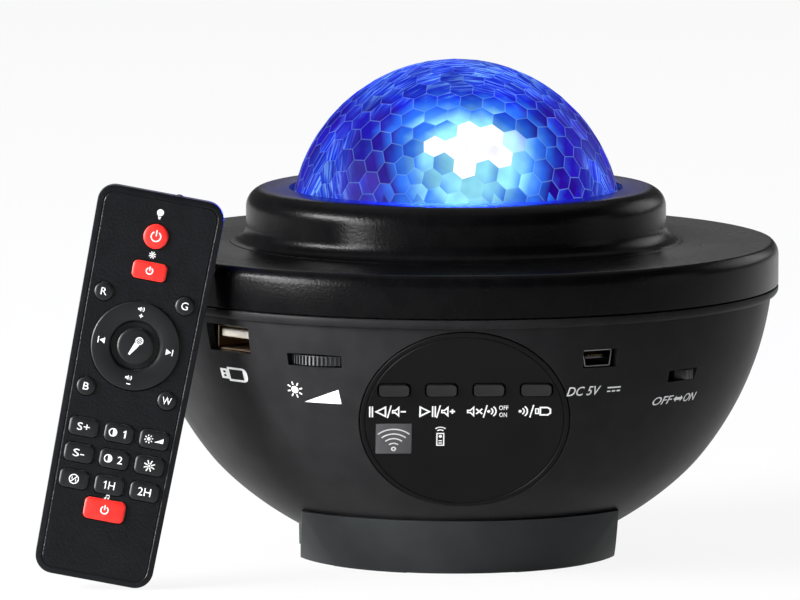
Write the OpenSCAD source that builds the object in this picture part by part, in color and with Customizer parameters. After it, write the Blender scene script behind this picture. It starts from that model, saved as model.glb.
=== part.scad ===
// Star night light projector with its remote control.
// Millimetres, +Z up, the origin on the table at the middle of the foot, the control panel facing -Y.

/* [Housing] */
// Diameter over the rim
rim_d = 165; // [158:1:172]
// Radius of the bowl's flat underside
floor_r = 43.7; // [43:0.1:44.5]
// Height of the bowl's flat underside
floor_z = 8.5; // [8:0.1:9.5]
// How far the seam between the bowl and the cover lies below the centre of the bowl's sphere
bowl_rise = 7.8; // [7:0.1:8.5]
// How far the rim stands out past the bowl's sphere
rim_proud = 1.25; // [0.8:0.05:1.6]
// Wall of the mouldings
wall = 2.2; // [1.8:0.1:2.6]
// Height of the lip band under the seam
lip_h = 2.5; // [2:0.1:3.2]
// Shadow gap at the seam
seam_gap = 0.3; // [0.2:0.05:0.5]
// Height of the flat plate above the seam
plate_rise = 11; // [10:0.1:12]
// Radius of the rim's shoulder
rim_round = 4; // [3:0.1:5]
// Radius of the collar
collar_r = 53.7; // [52.5:0.1:55.5]
// Height of the collar's top above the plate
collar_rise = 13.8; // [12.8:0.1:15]
// Radius of the collar's shoulder
collar_round = 5; // [4.2:0.1:5.6]
// Radius of the hollow flare at the collar's foot
flare_round = 4; // [3:0.1:4.6]

/* [Dome] */
// Radius of the dome's sphere
dome_r = 42.3; // [41.5:0.1:43]
// Height of the dome above the collar
dome_rise = 32.6; // [31.6:0.1:33.6]
// Wall of the dome
dome_wall = 1.6; // [1.2:0.1:2]
// Width of the dome's flange under the collar
dome_flange = 3.8; // [3:0.1:4.4]
// Radius of the ripple disc
ripple_r = 27; // [25:0.1:28]
// Thickness of the ripple disc
ripple_t = 1.6; // [1.2:0.1:2]
// Radius of the grating disc
grating_r = 12.5; // [11.8:0.1:13]

/* [Foot] */
// How far the legs at the table lie inside the bowl's flat underside
leg_inset = 1.7; // [1:0.1:2.5]
// How far the legs' upright ends are cut back from their radius
leg_cut = 1.5; // [1.2:0.1:4]
// Height of the legs
leg_top_z = 15; // [13.5:0.1:16]
// Wall of the legs at the table
leg_wall = 3; // [2.6:0.1:3.6]
// How far the legs' top edge stands out past the bowl
leg_proud = 1; // [0.6:0.05:1.5]
// Width of the sound gap at each side
side_gap_w = 22; // [18:1:26]
// Height of the rubber pads under the legs
pad_proud = 0.6; // [0.4:0.1:1]
// Length of a rubber pad
pad_l = 22; // [16:1:24]

/* [Ports] */
// Angle of the USB socket from the front
usb_az = -47.4; // [-52:0.1:-46]
// Depth of the USB socket below the seam
usb_drop = 7.8; // [7.2:0.1:8.2]
// Width of the USB opening
usb_w = 15; // [14.6:0.1:15.6]
// Height of the USB opening
usb_h = 6.8; // [6.2:0.1:7]
// Angle of the thumbwheel from the front
wheel_az = -28.3; // [-29:0.1:-27.5]
// Depth of the thumbwheel below the seam
wheel_drop = 11.4; // [10.8:0.1:11.7]
// Radius of the thumbwheel
wheel_r = 10.5; // [10:0.1:11]
// Thickness of the thumbwheel
wheel_t = 2.3; // [2:0.1:2.5]
// Angle of the power inlet from the front
inlet_az = 25.2; // [24.5:0.1:27]
// Depth of the power inlet below the seam
inlet_drop = 10.9; // [9.8:0.1:11.2]
// Width of the power inlet's opening
inlet_w = 9.6; // [9:0.1:10]
// Height of the power inlet's opening
inlet_h = 4.5; // [4:0.1:5]
// Angle of the power switch from the front
switch_az = 45.3; // [44.5:0.1:48]
// Depth of the power switch below the seam
switch_drop = 17.3; // [17:0.1:17.8]
// Width of the switch's knob
knob_w = 4.4; // [4:0.1:5]
// Height of the switch's knob
knob_h = 2.5; // [2:0.1:2.6]
// Travel of the switch's knob
knob_travel = 4; // [3:0.1:4.4]

/* [Control panel] */
// Radius of the control panel
panel_r = 26; // [25.6:0.1:27]
// Gap between the panel and the lip band above it
panel_gap = 0.78; // [0.4:0.02:2]
// Thickness of the panel
panel_t = 1.7; // [1.4:0.1:2]
// Width of a panel key
key_w = 7.4; // [6.8:0.1:8]
// Height of a panel key
key_h = 3.3; // [3:0.1:3.8]
// Distance between panel keys
key_pitch = 11.75; // [11.3:0.05:12]
// Height of the keys above the panel's middle
key_up = 9.1; // [8.8:0.1:9.5]
// Travel of a panel key
key_travel = 0.5; // [0.3:0.05:0.6]
// Size of the receiver's window
ir_size = 9; // [8.4:0.1:9.4]

/* [Inside] */
// Depth of the main board's underside below the seam
board_drop = 14.8; // [14.6:0.1:15]
// Thickness of the boards
board_t = 1.6; // [1.2:0.1:1.8]
// How far the long screws stand in from the rim
pillar_in = 22.5; // [21.5:0.1:24.5]
// Radius of the cover's pillars
pillar_r = 4; // [3.5:0.1:4.4]
// How far below the main board pillars and bosses meet
pillar_drop = 14.4; // [12:0.1:17]
// How far the main board's bosses stand in from the bowl's wall
boss_in = 9.75; // [9.3:0.05:11]
// Radius of the speaker's flange
speaker_r = 26; // [24:0.1:27]
// Height of the speaker
speaker_h = 21.5; // [20:0.5:24]
// Travel of the speaker's cone each way
cone_travel = 1; // [0.5:0.1:1.2]
// Thickness of the lamp deck
deck_t = 2; // [1.6:0.1:2.4]
// Radius of the lamp's lens
lens_r = 8; // [7.5:0.1:8.2]
// Radius of the small screws' shanks
screw_r = 1.3; // [1.1:0.05:1.4]
// Length of the small screws under the head
screw_l = 7; // [6:0.5:8]
// Length of the long screws under the head
long_screw_l = 19; // [16:0.5:20]
// Clearance of parts that turn or slide on each other
run = 0.05; // [0.03:0.01:0.08]
// Clearance round parts that pass through others
clear = 0.3; // [0.25:0.01:0.4]

/* [Remote control] */
// Length of the remote
remote_l = 98; // [96:0.5:102]
// Width of the remote at its top
remote_w = 32; // [31:0.1:33]
// Width of the remote at its foot
remote_foot_w = 29.6; // [29.2:0.1:31]
// Thickness of the remote
remote_t = 7.5; // [7.2:0.1:8.5]
// Radius of the remote's corners
remote_round = 4.5; // [3.5:0.1:5.2]
// Wall of the remote
remote_wall = 1.3; // [1.1:0.05:1.5]
// How far the remote is turned
remote_roll = 10.9; // [9:0.1:12]
// How far the remote leans back
remote_lean = 3; // [2:0.1:4]
// How far the remote's middle stands out past the side of the rim
remote_out = 1.2; // [0.2:0.1:3.5]
// Distance between columns of the remote's lower keys
grid_x = 8.9; // [8.6:0.05:9.2]
// Distance between rows of the remote's lower keys
grid_y = 6.6; // [6.3:0.05:7]
// Height of the remote's keys above its face
remote_key_proud = 0.7; // [0.4:0.05:1]

/* [Hidden] */
$fn = 96;
rim_r = rim_d / 2;
bowl_r = rim_r - rim_proud;
bowl_in_r = bowl_r - wall;
bowl_cz = floor_z + sqrt(bowl_r * bowl_r - floor_r * floor_r);
seam_z = bowl_cz - bowl_rise;
speaker_hole_r = speaker_r + 2.5;
plate_z = seam_z + plate_rise;
shoulder_z = plate_z - 0.8 * rim_round;
collar_z = plate_z + collar_rise;
dome_cz = collar_z + dome_rise - dome_r;
dome_hole_r = dome_r + 0.1;
skirt_r = dome_hole_r - clear;
skirt_proud = 0.7;
lip_round = 1.7;
flare_out_r = collar_r + flare_round;
flare_step = 0.3;
tongue_h = 2.5;
tongue_t = 1.5;
tongue_gap = 0.3;
tongue_r = at_height(bowl_in_r, seam_z - tongue_h) - tongue_gap;

base_t = 2.1;
base_top_z = floor_z;
base_r = floor_r - 0.5;
leg_r = floor_r - leg_inset;
leg_half_w = leg_r - leg_cut;
leg_top_r = at_height(bowl_r, leg_top_z) + leg_proud;
leg_seat = 0.2;
pad_t = 1.4;
pad_w = 1.8;
pad_turn = 35;
grille_r = 1.6;
grille_rings = [6, 12, 18];
base_screw_at = speaker_hole_r + 6;
base_boss_h = 8;
small_boss_r = 3.2;
screw_head_r = 2.5;
screw_head_t = 1.5;

long_screw_r = 1.5;
long_head_r = 2.8;
long_head_t = 2;
well_r = 3.3;
well_seat = 6;
pillar_at = rim_r - pillar_in;
pillar_angles = [10, 90, 170];
board_boss_angles = [-25, 40, 140, 205];
deck_screw_angles = [30, 150, 270];

board_z = seam_z - board_drop;
board_wall_r = at_height(bowl_in_r, board_z);
board_boss_at = board_wall_r - boss_in;
pillar_z = board_z - pillar_drop;
board_r = board_wall_r - 2;
board_top = board_z + board_t;
board_cut_w = 48;
board_cut_y = bowl_r - 31.25;

panel_tilt = asin(panel_r / bowl_r) + asin((bowl_rise + lip_h + panel_gap) / bowl_r);
panel_d = sqrt(bowl_r * bowl_r - panel_r * panel_r);
panel_back = panel_d - panel_t;
panel_fit = 0.15;
seat_t = 2.3;
seat_back = panel_back - seat_t;
key_gap = 0.3;
key_proud = 0.4;
key_flange = 0.9;
key_flange_t = 1;
key_x = [-1.5 * key_pitch, -0.5 * key_pitch, 0.5 * key_pitch, 1.5 * key_pitch];
key_foot = seat_back - 0.1 - key_flange_t;
switch_top = key_foot - key_travel - 0.1;
tact_w = 6;
tact_h = 3.4;
tact_plunger_h = 1.4;
panel_board_front = switch_top - tact_plunger_h - tact_h;
panel_board_w = 42.4;
panel_board_up = 14;
panel_board_down = 20;
panel_post_r = 2.4;
panel_posts = [[0, 2.6], [-12, -16], [12, -16]];
panel_screw_l = 5;
ir_x = -1.5 * key_pitch;
ir_y = -5.4;
ir_fit = 0.1;
ir_ledge = 1.1;
ir_t = panel_t;

usb_z = seam_z - usb_drop;
usb_d = 14;
usb_inset = 1.2;
usb_rim = 0.3;
usb_metal = 0.75;
inlet_z = seam_z - inlet_drop;
inlet_d = 9;
inlet_metal = 0.6;
inlet_rim = 0.3;
wheel_z = seam_z - wheel_drop;
wheel_proud = 0.8;
wheel_at = at_height(bowl_r, wheel_z) + wheel_proud - wheel_r;
wheel_slot_w = 2 * sqrt(wheel_r * wheel_r - pow(wheel_r - wheel_proud - 3.1, 2)) - 0.2;
wheel_slot_h = wheel_t + 2 * clear;
wheel_shaft_r = 2.2;
knurls = 48;
knurl_w = 0.6;
pot_w = 9;
pot_h = 2.6;
switch_z = seam_z - switch_drop;
switch_w = 13;
switch_d = 6;
switch_slot_w = knob_w + knob_travel + 2.2;
switch_slot_h = knob_h + 2 * clear;
switch_front = at_height(bowl_in_r, switch_z) - 3;
switch_low = 2 * (board_z - switch_z);
knob_root = 3;
knob_proud = 0.5;
knob_front = at_height(bowl_r, switch_z) + knob_proud;

speaker_z = base_top_z;
magnet_r = 15;
magnet_t = 10;
coil_r = 6.4;
frame_t = 1;
frame_top = speaker_z + speaker_h - magnet_t;
cone_r = speaker_r - 3.4 - clear;

flange_t = 2;
flange_z = collar_z - wall - 0.05 - flange_t;
deck_top = flange_z - 0.05;
deck_z = deck_top - deck_t;
deck_r = collar_r - wall - 0.6;
deck_screw_at = collar_r - 5.2;
deck_screw_l = deck_t + 1.8;
deck_screw_head_r = 2;
deck_boss_r = 2.4;
dome_flange_r = min(dome_hole_r + dome_flange, deck_screw_at - deck_boss_r - 0.15);
lamp_at = [5, -9];
disc_at = [0, 9];
laser_at = [-20, -16];
grating_at = [-25, -7];
lamp_hole_r = lens_r + 1;
led_board_r = 11;
sink_base = 3;
sink_h = 12;
sink_fins = 7;
fin_t = 1;
lens_flange_r = lens_r + 2;
lens_flange_t = 1;
lens_h = 5.6;
ripple_z = deck_top + 6.8;
ripple_hub_r = 4;
ripple_hub_h = 3;
ripple_shaft_r = 1.5;
ripple_motor_r = 6.9;
ripple_motor_h = 10;
grating_z = deck_top + 2.2;
grating_t = 1;
grating_shaft_r = 1;
grating_motor_r = 5;
grating_motor_h = 8;
laser_r = 4;
laser_h = 13;

remote_back_t = 3.7;
remote_groove = 0.25;
remote_front_z = remote_back_t + remote_groove;
remote_chamfer = 0.7;
remote_lip = 0.6;
remote_lip_h = 1;
remote_fit = 0.1;
remote_board_z = 4.05;
remote_board_t = 1;
remote_board_inset = remote_wall + remote_fit + remote_lip + 0.2;
remote_plate_t = 1.2;
remote_plate_z = remote_t - remote_plate_t;
mat_t = 0.35;
mat_gap = 0.2;
remote_flange_t = 0.4;
remote_flange = 0.35;
remote_flange_top = remote_plate_z - 0.15;
remote_key_gap = 0.2;
lamp_key_y = remote_l / 2 - 10.8;
laser_key_y = lamp_key_y - 8.7;
ring_y = laser_key_y - 19;
ring_r = 11.1;
ring_in_r = 6.1;
ring_drop = 0.25;
mic_r = 4.5;
mic_gap = 0.7;
mic_flange = ring_in_r - mic_r - mic_gap;
colour_key_r = 2.3;
colour_x = 10.2;
colour_y = 12;
grid_key = [7.2, 4.6];
grid_top_y = ring_y - 22.1;
music_key_y = grid_top_y - 2 * grid_y - 6.3;
lamp_key_r = 3.1;
laser_key = [8.6, 4.5];
music_key = [10.3, 5.4];
key_corner = 1.2;
coin_r = 10;
coin_t = 2.5;
coin_y = -22;
door_r = 11.6;
door_t = 1.2;
door_slot = [12, 1.6, 0.5];
post_x = 9;
post_y = remote_l / 2 - 9;
ir_led_r = 1.4;
ir_led_l = 3.6;
ir_led_x = 4;
ir_led_z = 5.2;
ir_led_gap = 0.1;
ir_led_proud = 0.5;
ir_led_end = remote_l / 2 + ir_led_proud - ir_led_r - ir_led_l;

grid_names = [["remote_speed_up_key", "remote_fade_1_key", "remote_brightness_key"],
              ["remote_speed_down_key", "remote_fade_2_key", "remote_laser_light_key"],
              ["remote_motor_key", "remote_1_hour_key", "remote_2_hour_key"]];

// Each key of the remote: its name, its place, and its width and height; a round key has a height of 0
REMOTE_KEYS = concat(
    [["remote_lamp_key", [0, lamp_key_y], [2 * lamp_key_r, 0]],
     ["remote_laser_key", [0, laser_key_y], laser_key],
     ["remote_red_key", [-colour_x, ring_y + colour_y], [2 * colour_key_r, 0]],
     ["remote_green_key", [colour_x, ring_y + colour_y], [2 * colour_key_r, 0]],
     ["remote_blue_key", [-colour_x, ring_y - colour_y], [2 * colour_key_r, 0]],
     ["remote_white_key", [colour_x, ring_y - colour_y], [2 * colour_key_r, 0]],
     ["remote_mic_key", [0, ring_y], [2 * mic_r, 0]],
     ["remote_music_key", [0, music_key_y], music_key]],
    [for (row = [0:2]) for (col = [0:2])
        [grid_names[row][col], [(col - 1) * grid_x, grid_top_y - row * grid_y], grid_key]]);

// ---- Shared geometry ----

// Radius at height z of a sphere of radius r round the bowl's centre
function at_height(r, z) = sqrt(r * r - pow(z - bowl_cz, 2));

// The length that a point lies behind the front of a circle of radius r, half a width to the side
function sag(r, w) = r - sqrt(r * r - w * w / 4);

// Turns what is drawn facing -Y to a port's angle
module at_port(az) rotate([0, 0, az]) children();

// The panel's own frame: X across, Y up the panel, Z out of the bowl from the sphere's centre
module at_panel() translate([0, 0, bowl_cz]) rotate([90 + panel_tilt, 0, 0]) children();

module at_angles(r, angles) for (a = angles) rotate([0, 0, a]) translate([r, 0, 0]) children();

module revolve() rotate_extrude($fn = 180) children();

// A rectangle round its middle with round corners, all arcs true
module rounded(w, h, r) {
    square([w - 2 * r, h], center = true);
    square([w, h - 2 * r], center = true);
    for (x = [-1, 1]) for (y = [-1, 1])
        translate([x * (w / 2 - r), y * (h / 2 - r)]) circle(r = r, $fn = 32);
}

// A screw with its head's bearing face at Z = 0 and its shank along +Z
module screw(shank_r, shank_l, head_r, head_t) {
    cylinder(r = shank_r, h = shank_l, $fn = 32);
    difference() {
        translate([0, 0, -head_t]) cylinder(r = head_r, h = head_t, $fn = 48);
        for (a = [0, 90]) rotate([0, 0, a])
            translate([0, 0, -head_t]) cube([head_r * 1.2, 0.6, 1.4], center = true);
    }
}

// ---- Housing ----

module bowl_outline() {
    intersection() {
        translate([0, bowl_cz]) circle(r = bowl_r);
        translate([0, floor_z]) square([rim_r, seam_z - floor_z]);
    }
    // lip band, rounded under
    intersection() {
        translate([rim_r - lip_round, seam_z - lip_h + lip_round]) circle(r = lip_round);
        translate([0, seam_z - lip_h]) square([rim_r, lip_h]);
    }
    translate([rim_r - 4, seam_z - lip_h]) square([4 - lip_round, lip_h]);
    translate([rim_r - 4, seam_z - lip_h + lip_round]) square([4, lip_h - lip_round]);
}

module bowl_hollow() {
    intersection() {
        translate([0, bowl_cz]) circle(r = bowl_in_r);
        translate([0, floor_z + wall]) square([rim_r, seam_z - floor_z]);
    }
    translate([0, floor_z - 1]) square([speaker_hole_r, wall + 2]);
}

// Round posts that stand on the inside of the bowl's wall
module wall_posts(at, angles, r, top) intersection() {
    at_angles(at, angles)
        translate([0, 0, floor_z + 1]) cylinder(r = r, h = top - floor_z - 1, $fn = 48);
    translate([0, 0, bowl_cz]) sphere(r = bowl_r - wall / 2, $fn = 180);
}

module panel_seat() intersection() {
    at_panel() translate([0, 0, seat_back]) cylinder(r = panel_r + 2, h = bowl_r - seat_back, $fn = 180);
    translate([0, 0, bowl_cz]) sphere(r = bowl_r, $fn = 180);
    // the seat ends under the cover's tongue
    cylinder(r = rim_r, h = seam_z - tongue_h - clear, $fn = 180);
}

module key_hole(gap, low, high)
    translate([0, 0, low]) linear_extrude(high - low) rounded(key_w + 2 * gap, key_h + 2 * gap, 1 + gap);

module port_openings() {
    depth = wall + 6;
    at_port(usb_az) translate([-usb_w / 2, -bowl_r, usb_z - usb_h / 2]) cube([usb_w, depth, usb_h]);
    at_port(inlet_az) translate([-inlet_w / 2, -bowl_r, inlet_z - inlet_h / 2])
        cube([inlet_w, depth, inlet_h]);
    at_port(wheel_az) translate([-wheel_slot_w / 2, -bowl_r, wheel_z - wheel_slot_h / 2])
        cube([wheel_slot_w, depth + 1, wheel_slot_h]);
    at_port(switch_az) translate([-switch_slot_w / 2, -bowl_r, switch_z - switch_slot_h / 2])
        cube([switch_slot_w, depth + 3, switch_slot_h]);
}

module bowl_shell() color("#26282a") difference() {
    union() {
        revolve() difference() {
            bowl_outline();
            bowl_hollow();
        }
        panel_seat();
        at_panel() for (p = panel_posts)
            translate([p[0], p[1], panel_board_front])
                cylinder(r = panel_post_r, h = seat_back - panel_board_front + 1);
        wall_posts(pillar_at, pillar_angles, well_r + 1.8, pillar_z);
        wall_posts(board_boss_at, board_boss_angles, small_boss_r, board_z);
        at_angles(base_screw_at, [45, 135, 225, 315])
            translate([0, 0, floor_z + 1]) cylinder(r = small_boss_r, h = base_boss_h, $fn = 48);
    }
    // seat of the panel, its keys and its receiver's window
    at_panel() {
        translate([0, 0, panel_back]) cylinder(r = panel_r + panel_fit, h = panel_t + 5, $fn = 180);
        for (x = key_x) translate([x, key_up, 0]) key_hole(key_gap, seat_back - 1, panel_back + 1);
        translate([ir_x, ir_y, seat_back + seat_t / 2])
            cube([ir_size - 2 * ir_ledge, ir_size - 2 * ir_ledge, seat_t + 2], center = true);
        for (p = panel_posts)
            translate([p[0], p[1], panel_board_front - 1]) cylinder(r = screw_r + run, h = 5, $fn = 32);
    }
    port_openings();
    // wells of the long screws, with the seat for the head at their top
    at_angles(pillar_at, pillar_angles) {
        cylinder(r = well_r, h = pillar_z - well_seat, $fn = 48);
        cylinder(r = long_screw_r + 0.2, h = pillar_z + 1, $fn = 32);
    }
    at_angles(board_boss_at, board_boss_angles)
        translate([0, 0, board_z - 8]) cylinder(r = screw_r + run, h = 9, $fn = 32);
    at_angles(base_screw_at, [45, 135, 225, 315])
        translate([0, 0, floor_z - 1]) cylinder(r = screw_r + run, h = base_boss_h, $fn = 32);
}

// Everything inside the cover's outer surface, drawn in by a wall of thickness t
module cover_outline(t, bottom) {
    neck_z = plate_z + flare_step + flare_round;
    intersection() {
        translate([rim_r - rim_round, shoulder_z]) circle(r = rim_round - t);
        translate([0, bottom]) square([rim_r, plate_z - t - bottom]);
    }
    translate([0, bottom]) square([rim_r - rim_round, plate_z - t - bottom]);
    translate([0, bottom]) square([rim_r - t, shoulder_z - bottom]);
    // collar, with the hollow flare at its foot
    difference() {
        translate([0, plate_z - t - 1]) square([flare_out_r, neck_z - plate_z + t + 1]);
        translate([flare_out_r, neck_z]) circle(r = flare_round + t);
    }
    translate([0, neck_z - 1]) square([collar_r - t, collar_z - collar_round - neck_z + 1]);
    translate([0, neck_z]) square([collar_r - collar_round, collar_z - t - neck_z]);
    translate([collar_r - collar_round, collar_z - collar_round]) circle(r = collar_round - t);
}

module top_cover() color("#2b2d2f") {
    revolve() {
        difference() {
            cover_outline(0, seam_z + seam_gap);
            cover_outline(wall, seam_z - 1);
            translate([0, plate_z]) square([dome_hole_r, collar_rise + 1]);
        }
        // tongue that drops inside the bowl
        translate([tongue_r - tongue_t, seam_z - tongue_h]) square([tongue_t, tongue_h + 2]);
        translate([tongue_r - tongue_t, seam_z]) square([rim_r - wall / 2 - tongue_r + tongue_t, 2]);
    }
    at_angles(pillar_at, pillar_angles) difference() {
        translate([0, 0, pillar_z]) cylinder(r = pillar_r, h = plate_z - wall / 2 - pillar_z, $fn = 48);
        translate([0, 0, pillar_z - 1]) cylinder(r = long_screw_r + run, h = 16, $fn = 32);
    }
    at_angles(deck_screw_at, deck_screw_angles) difference() {
        translate([0, 0, deck_top]) cylinder(r = deck_boss_r, h = collar_z - wall / 2 - deck_top, $fn = 48);
        translate([0, 0, deck_top - 1]) cylinder(r = screw_r + run, h = 3, $fn = 32);
    }
}

module dome() color("#2a3cff", 0.8) revolve() difference() {
    union() {
        intersection() {
            translate([0, dome_cz]) circle(r = dome_r);
            translate([0, collar_z]) square([dome_r, dome_rise + 1]);
        }
        translate([0, flange_z]) square([skirt_r, collar_z + skirt_proud - flange_z]);
        translate([0, flange_z]) square([dome_flange_r, flange_t]);
    }
    intersection() {
        translate([0, dome_cz]) circle(r = dome_r - dome_wall);
        translate([0, collar_z]) square([dome_r, dome_rise + 1]);
    }
    translate([0, flange_z - 1]) square([skirt_r - dome_wall, collar_z - flange_z + 1]);
}

module legs() difference() {
    revolve() difference() {
        polygon([[leg_r - leg_wall, pad_proud], [leg_r, pad_proud], [leg_top_r, leg_top_z],
                 [base_r, leg_top_z], [base_r, floor_z], [leg_r - leg_wall, floor_z]]);
        intersection() {
            translate([0, bowl_cz]) circle(r = bowl_r + leg_seat);
            translate([0, floor_z]) square([rim_r, rim_r]);
        }
    }
    // the legs end in upright faces, with a gap between them at each side
    for (x = [-1, 1]) translate([x * (leg_half_w + rim_r), 0, 0]) cube([rim_d, rim_d, rim_d], center = true);
    cube([rim_d, side_gap_w, rim_d], center = true);
    pad_ring(0.1);
}

module pad_ring(gap) intersection() {
    revolve() translate([leg_r - leg_wall / 2 - pad_w / 2 - gap, 0]) square([pad_w + 2 * gap, pad_t]);
    for (side = [0, 180]) rotate([0, 0, side]) for (a = [1, -1])
        rotate([0, 0, 90 + a * pad_turn]) translate([0, -pad_l / 2 - gap, -1])
            cube([leg_r + 5, pad_l + 2 * gap, pad_t + 2]);
}

module base_cover() color("#3c3f40") difference() {
    union() {
        translate([0, 0, base_top_z - base_t]) cylinder(r = base_r, h = base_t, $fn = 180);
        legs();
    }
    translate([0, 0, base_top_z - base_t - 1]) {
        cylinder(r = grille_r, h = base_t + 2, $fn = 24);
        for (ring = grille_rings) for (i = [0:round(ring) - 1]) rotate([0, 0, i * 360 / round(ring)])
            translate([ring, 0, 0]) cylinder(r = grille_r, h = base_t + 2, $fn = 24);
        at_angles(base_screw_at, [45, 135, 225, 315]) cylinder(r = screw_r + 0.2, h = base_t + 2, $fn = 32);
    }
}

module foot_pads() color("#151515") pad_ring(0);

module short_screws() color("#b8bcc0") {
    at_angles(base_screw_at, [45, 135, 225, 315])
        translate([0, 0, base_top_z - base_t]) screw(screw_r, screw_l, screw_head_r, screw_head_t);
    at_angles(board_boss_at, board_boss_angles)
        translate([0, 0, board_top]) mirror([0, 0, 1]) screw(screw_r, screw_l, screw_head_r, screw_head_t);
    at_angles(deck_screw_at, deck_screw_angles)
        translate([0, 0, deck_z]) screw(screw_r, deck_screw_l, deck_screw_head_r, screw_head_t);
    at_panel() for (p = panel_posts)
        translate([p[0], p[1], panel_board_front - board_t])
            screw(screw_r, panel_screw_l, screw_head_r, screw_head_t);
}

module cover_screws() color("#9a9ea2") at_angles(pillar_at, pillar_angles)
    translate([0, 0, pillar_z - well_seat]) screw(long_screw_r, long_screw_l, long_head_r, long_head_t);

// ---- Control panel ----

module control_panel() color("#1c1c1d") at_panel() difference() {
    translate([0, 0, panel_back]) cylinder(r = panel_r, h = panel_t, $fn = 180);
    for (x = key_x) translate([x, key_up, 0]) key_hole(key_gap, panel_back - 1, panel_d + 1);
    translate([ir_x, ir_y, panel_d - ir_t / 2])
        cube([ir_size + 2 * ir_fit, ir_size + 2 * ir_fit, ir_t + 2], center = true);
}

module panel_key(i) color("#161617") at_panel() translate([key_x[i], key_up, 0]) {
    key_hole(0, key_foot, panel_d + key_proud);
    translate([0, 0, key_foot]) linear_extrude(key_flange_t)
        rounded(key_w + 2 * key_flange, key_h + 2 * key_flange, 1);
}

module previous_button() panel_key(0);
module play_button() panel_key(1);
module mute_button() panel_key(2);
module mode_button() panel_key(3);

module ir_window() color("#6a6a6c") at_panel()
    translate([ir_x, ir_y, panel_d - ir_t / 2]) cube([ir_size, ir_size, ir_t], center = true);

module panel_board() color("#1f6b3a") at_panel() translate([0, 0, panel_board_front - board_t]) difference() {
    translate([-panel_board_w / 2, -panel_board_down, 0])
        cube([panel_board_w, panel_board_down + panel_board_up, board_t]);
    for (p = panel_posts)
        translate([p[0], p[1], -1]) cylinder(r = screw_r + 0.2, h = board_t + 2, $fn = 32);
}

module tact_switches() color("#8a8d90") at_panel() for (x = key_x) translate([x, key_up, panel_board_front]) {
    translate([-tact_w / 2, -tact_w / 2, 0]) cube([tact_w, tact_w, tact_h]);
    cylinder(r = 1.7, h = tact_h + tact_plunger_h, $fn = 32);
}

module ir_receiver() color("#101012") at_panel() translate([ir_x, ir_y, panel_board_front]) {
    lens_z = seat_back - 0.8 - panel_board_front;
    translate([-3, -3.2, 0]) cube([6, 6.4, lens_z - 1]);
    translate([0, 0, lens_z - 2.4]) sphere(r = 2.4, $fn = 48);
}

// ---- Ports ----

module thumbwheel() color("#202122") at_port(wheel_az) translate([0, -wheel_at, wheel_z - wheel_t / 2])
    difference() {
        linear_extrude(wheel_t) difference() {
            circle(r = wheel_r);
            for (i = [0:knurls - 1]) rotate([0, 0, i * 360 / knurls])
                translate([wheel_r, 0]) square([2 * knurl_w * 0.7, knurl_w], center = true);
        }
        translate([0, 0, -1]) cylinder(r = wheel_shaft_r + run, h = wheel_t + 2, $fn = 48);
    }

module thumbwheel_pot() color("#2a2a2c") at_port(wheel_az) translate([0, -wheel_at, 0]) {
    translate([-pot_w / 2, -pot_w / 2, board_z - pot_h]) cube([pot_w, pot_w, pot_h]);
    translate([0, 0, board_z - 1])
        cylinder(r = wheel_shaft_r, h = wheel_z + wheel_t / 2 + 0.3 - board_z + 1, $fn = 48);
}

module power_switch_knob() color("#1a1a1b") at_port(switch_az)
    translate([knob_travel / 2 - knob_w / 2, -knob_front, switch_z - knob_h / 2])
        cube([knob_w, knob_front - switch_front + knob_root, knob_h]);

module power_switch_body() color("#a8abad") at_port(switch_az) difference() {
    translate([-switch_w / 2, -switch_front, board_z - switch_low]) cube([switch_w, switch_d, switch_low]);
    translate([-switch_slot_w / 2, -switch_front - 1, switch_z - knob_h / 2 - 0.1])
        cube([switch_slot_w, knob_root + 1.15, knob_h + 0.2]);
}

module usb_a_socket() color("#c3c6c9") at_port(usb_az) {
    w = usb_w - 2 * usb_rim;
    h = usb_h - 2 * usb_rim;
    front = at_height(bowl_r, usb_z) - usb_inset;
    low = usb_z - h / 2;
    translate([0, -front, low]) {
        difference() {
            translate([-w / 2, 0, 0]) cube([w, usb_d, h]);
            translate([usb_metal - w / 2, -1, usb_metal])
                cube([w - 2 * usb_metal, usb_d, h - 2 * usb_metal]);
        }
        // tongue with the contacts
        translate([-w / 2 + usb_metal + 0.9, 1, h - usb_metal - 2.4])
            cube([w - 2 * usb_metal - 1.8, usb_d - 1.5, 1.8]);
        // feet down to the board
        for (x = [-1, 1]) translate([x * (w / 2 - 0.4) - 0.4, 6, board_top - low])
            cube([0.8, usb_d - 6, low - board_top + 0.5]);
    }
}

module power_socket() color("#b9bcbf") at_port(inlet_az) {
    w = inlet_w - 2 * inlet_rim;
    h = inlet_h - 2 * inlet_rim;
    front = at_height(bowl_r, inlet_z) - 1;
    low = inlet_z - h / 2;
    translate([0, -front, low]) {
        difference() {
            translate([-w / 2, 0, 0]) cube([w, inlet_d, h]);
            translate([inlet_metal - w / 2, -1, inlet_metal])
                cube([w - 2 * inlet_metal, inlet_d, h - 2 * inlet_metal]);
            // the sloped lower corners of the inlet
            for (x = [-1, 1]) translate([x * w / 2, 0, 0]) rotate([0, x * 30, 0])
                cube([1.4, 2 * inlet_d + 2, 1.4], center = true);
        }
        translate([-w / 2 + 1.8, 1, h / 2 - 0.4]) cube([w - 3.6, inlet_d - 1.5, 0.8]);
        translate([-w / 2 + 1, 4, board_top - low]) cube([w - 2, inlet_d - 4, low - board_top + 0.3]);
    }
}

// ---- Boards and speaker ----

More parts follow.
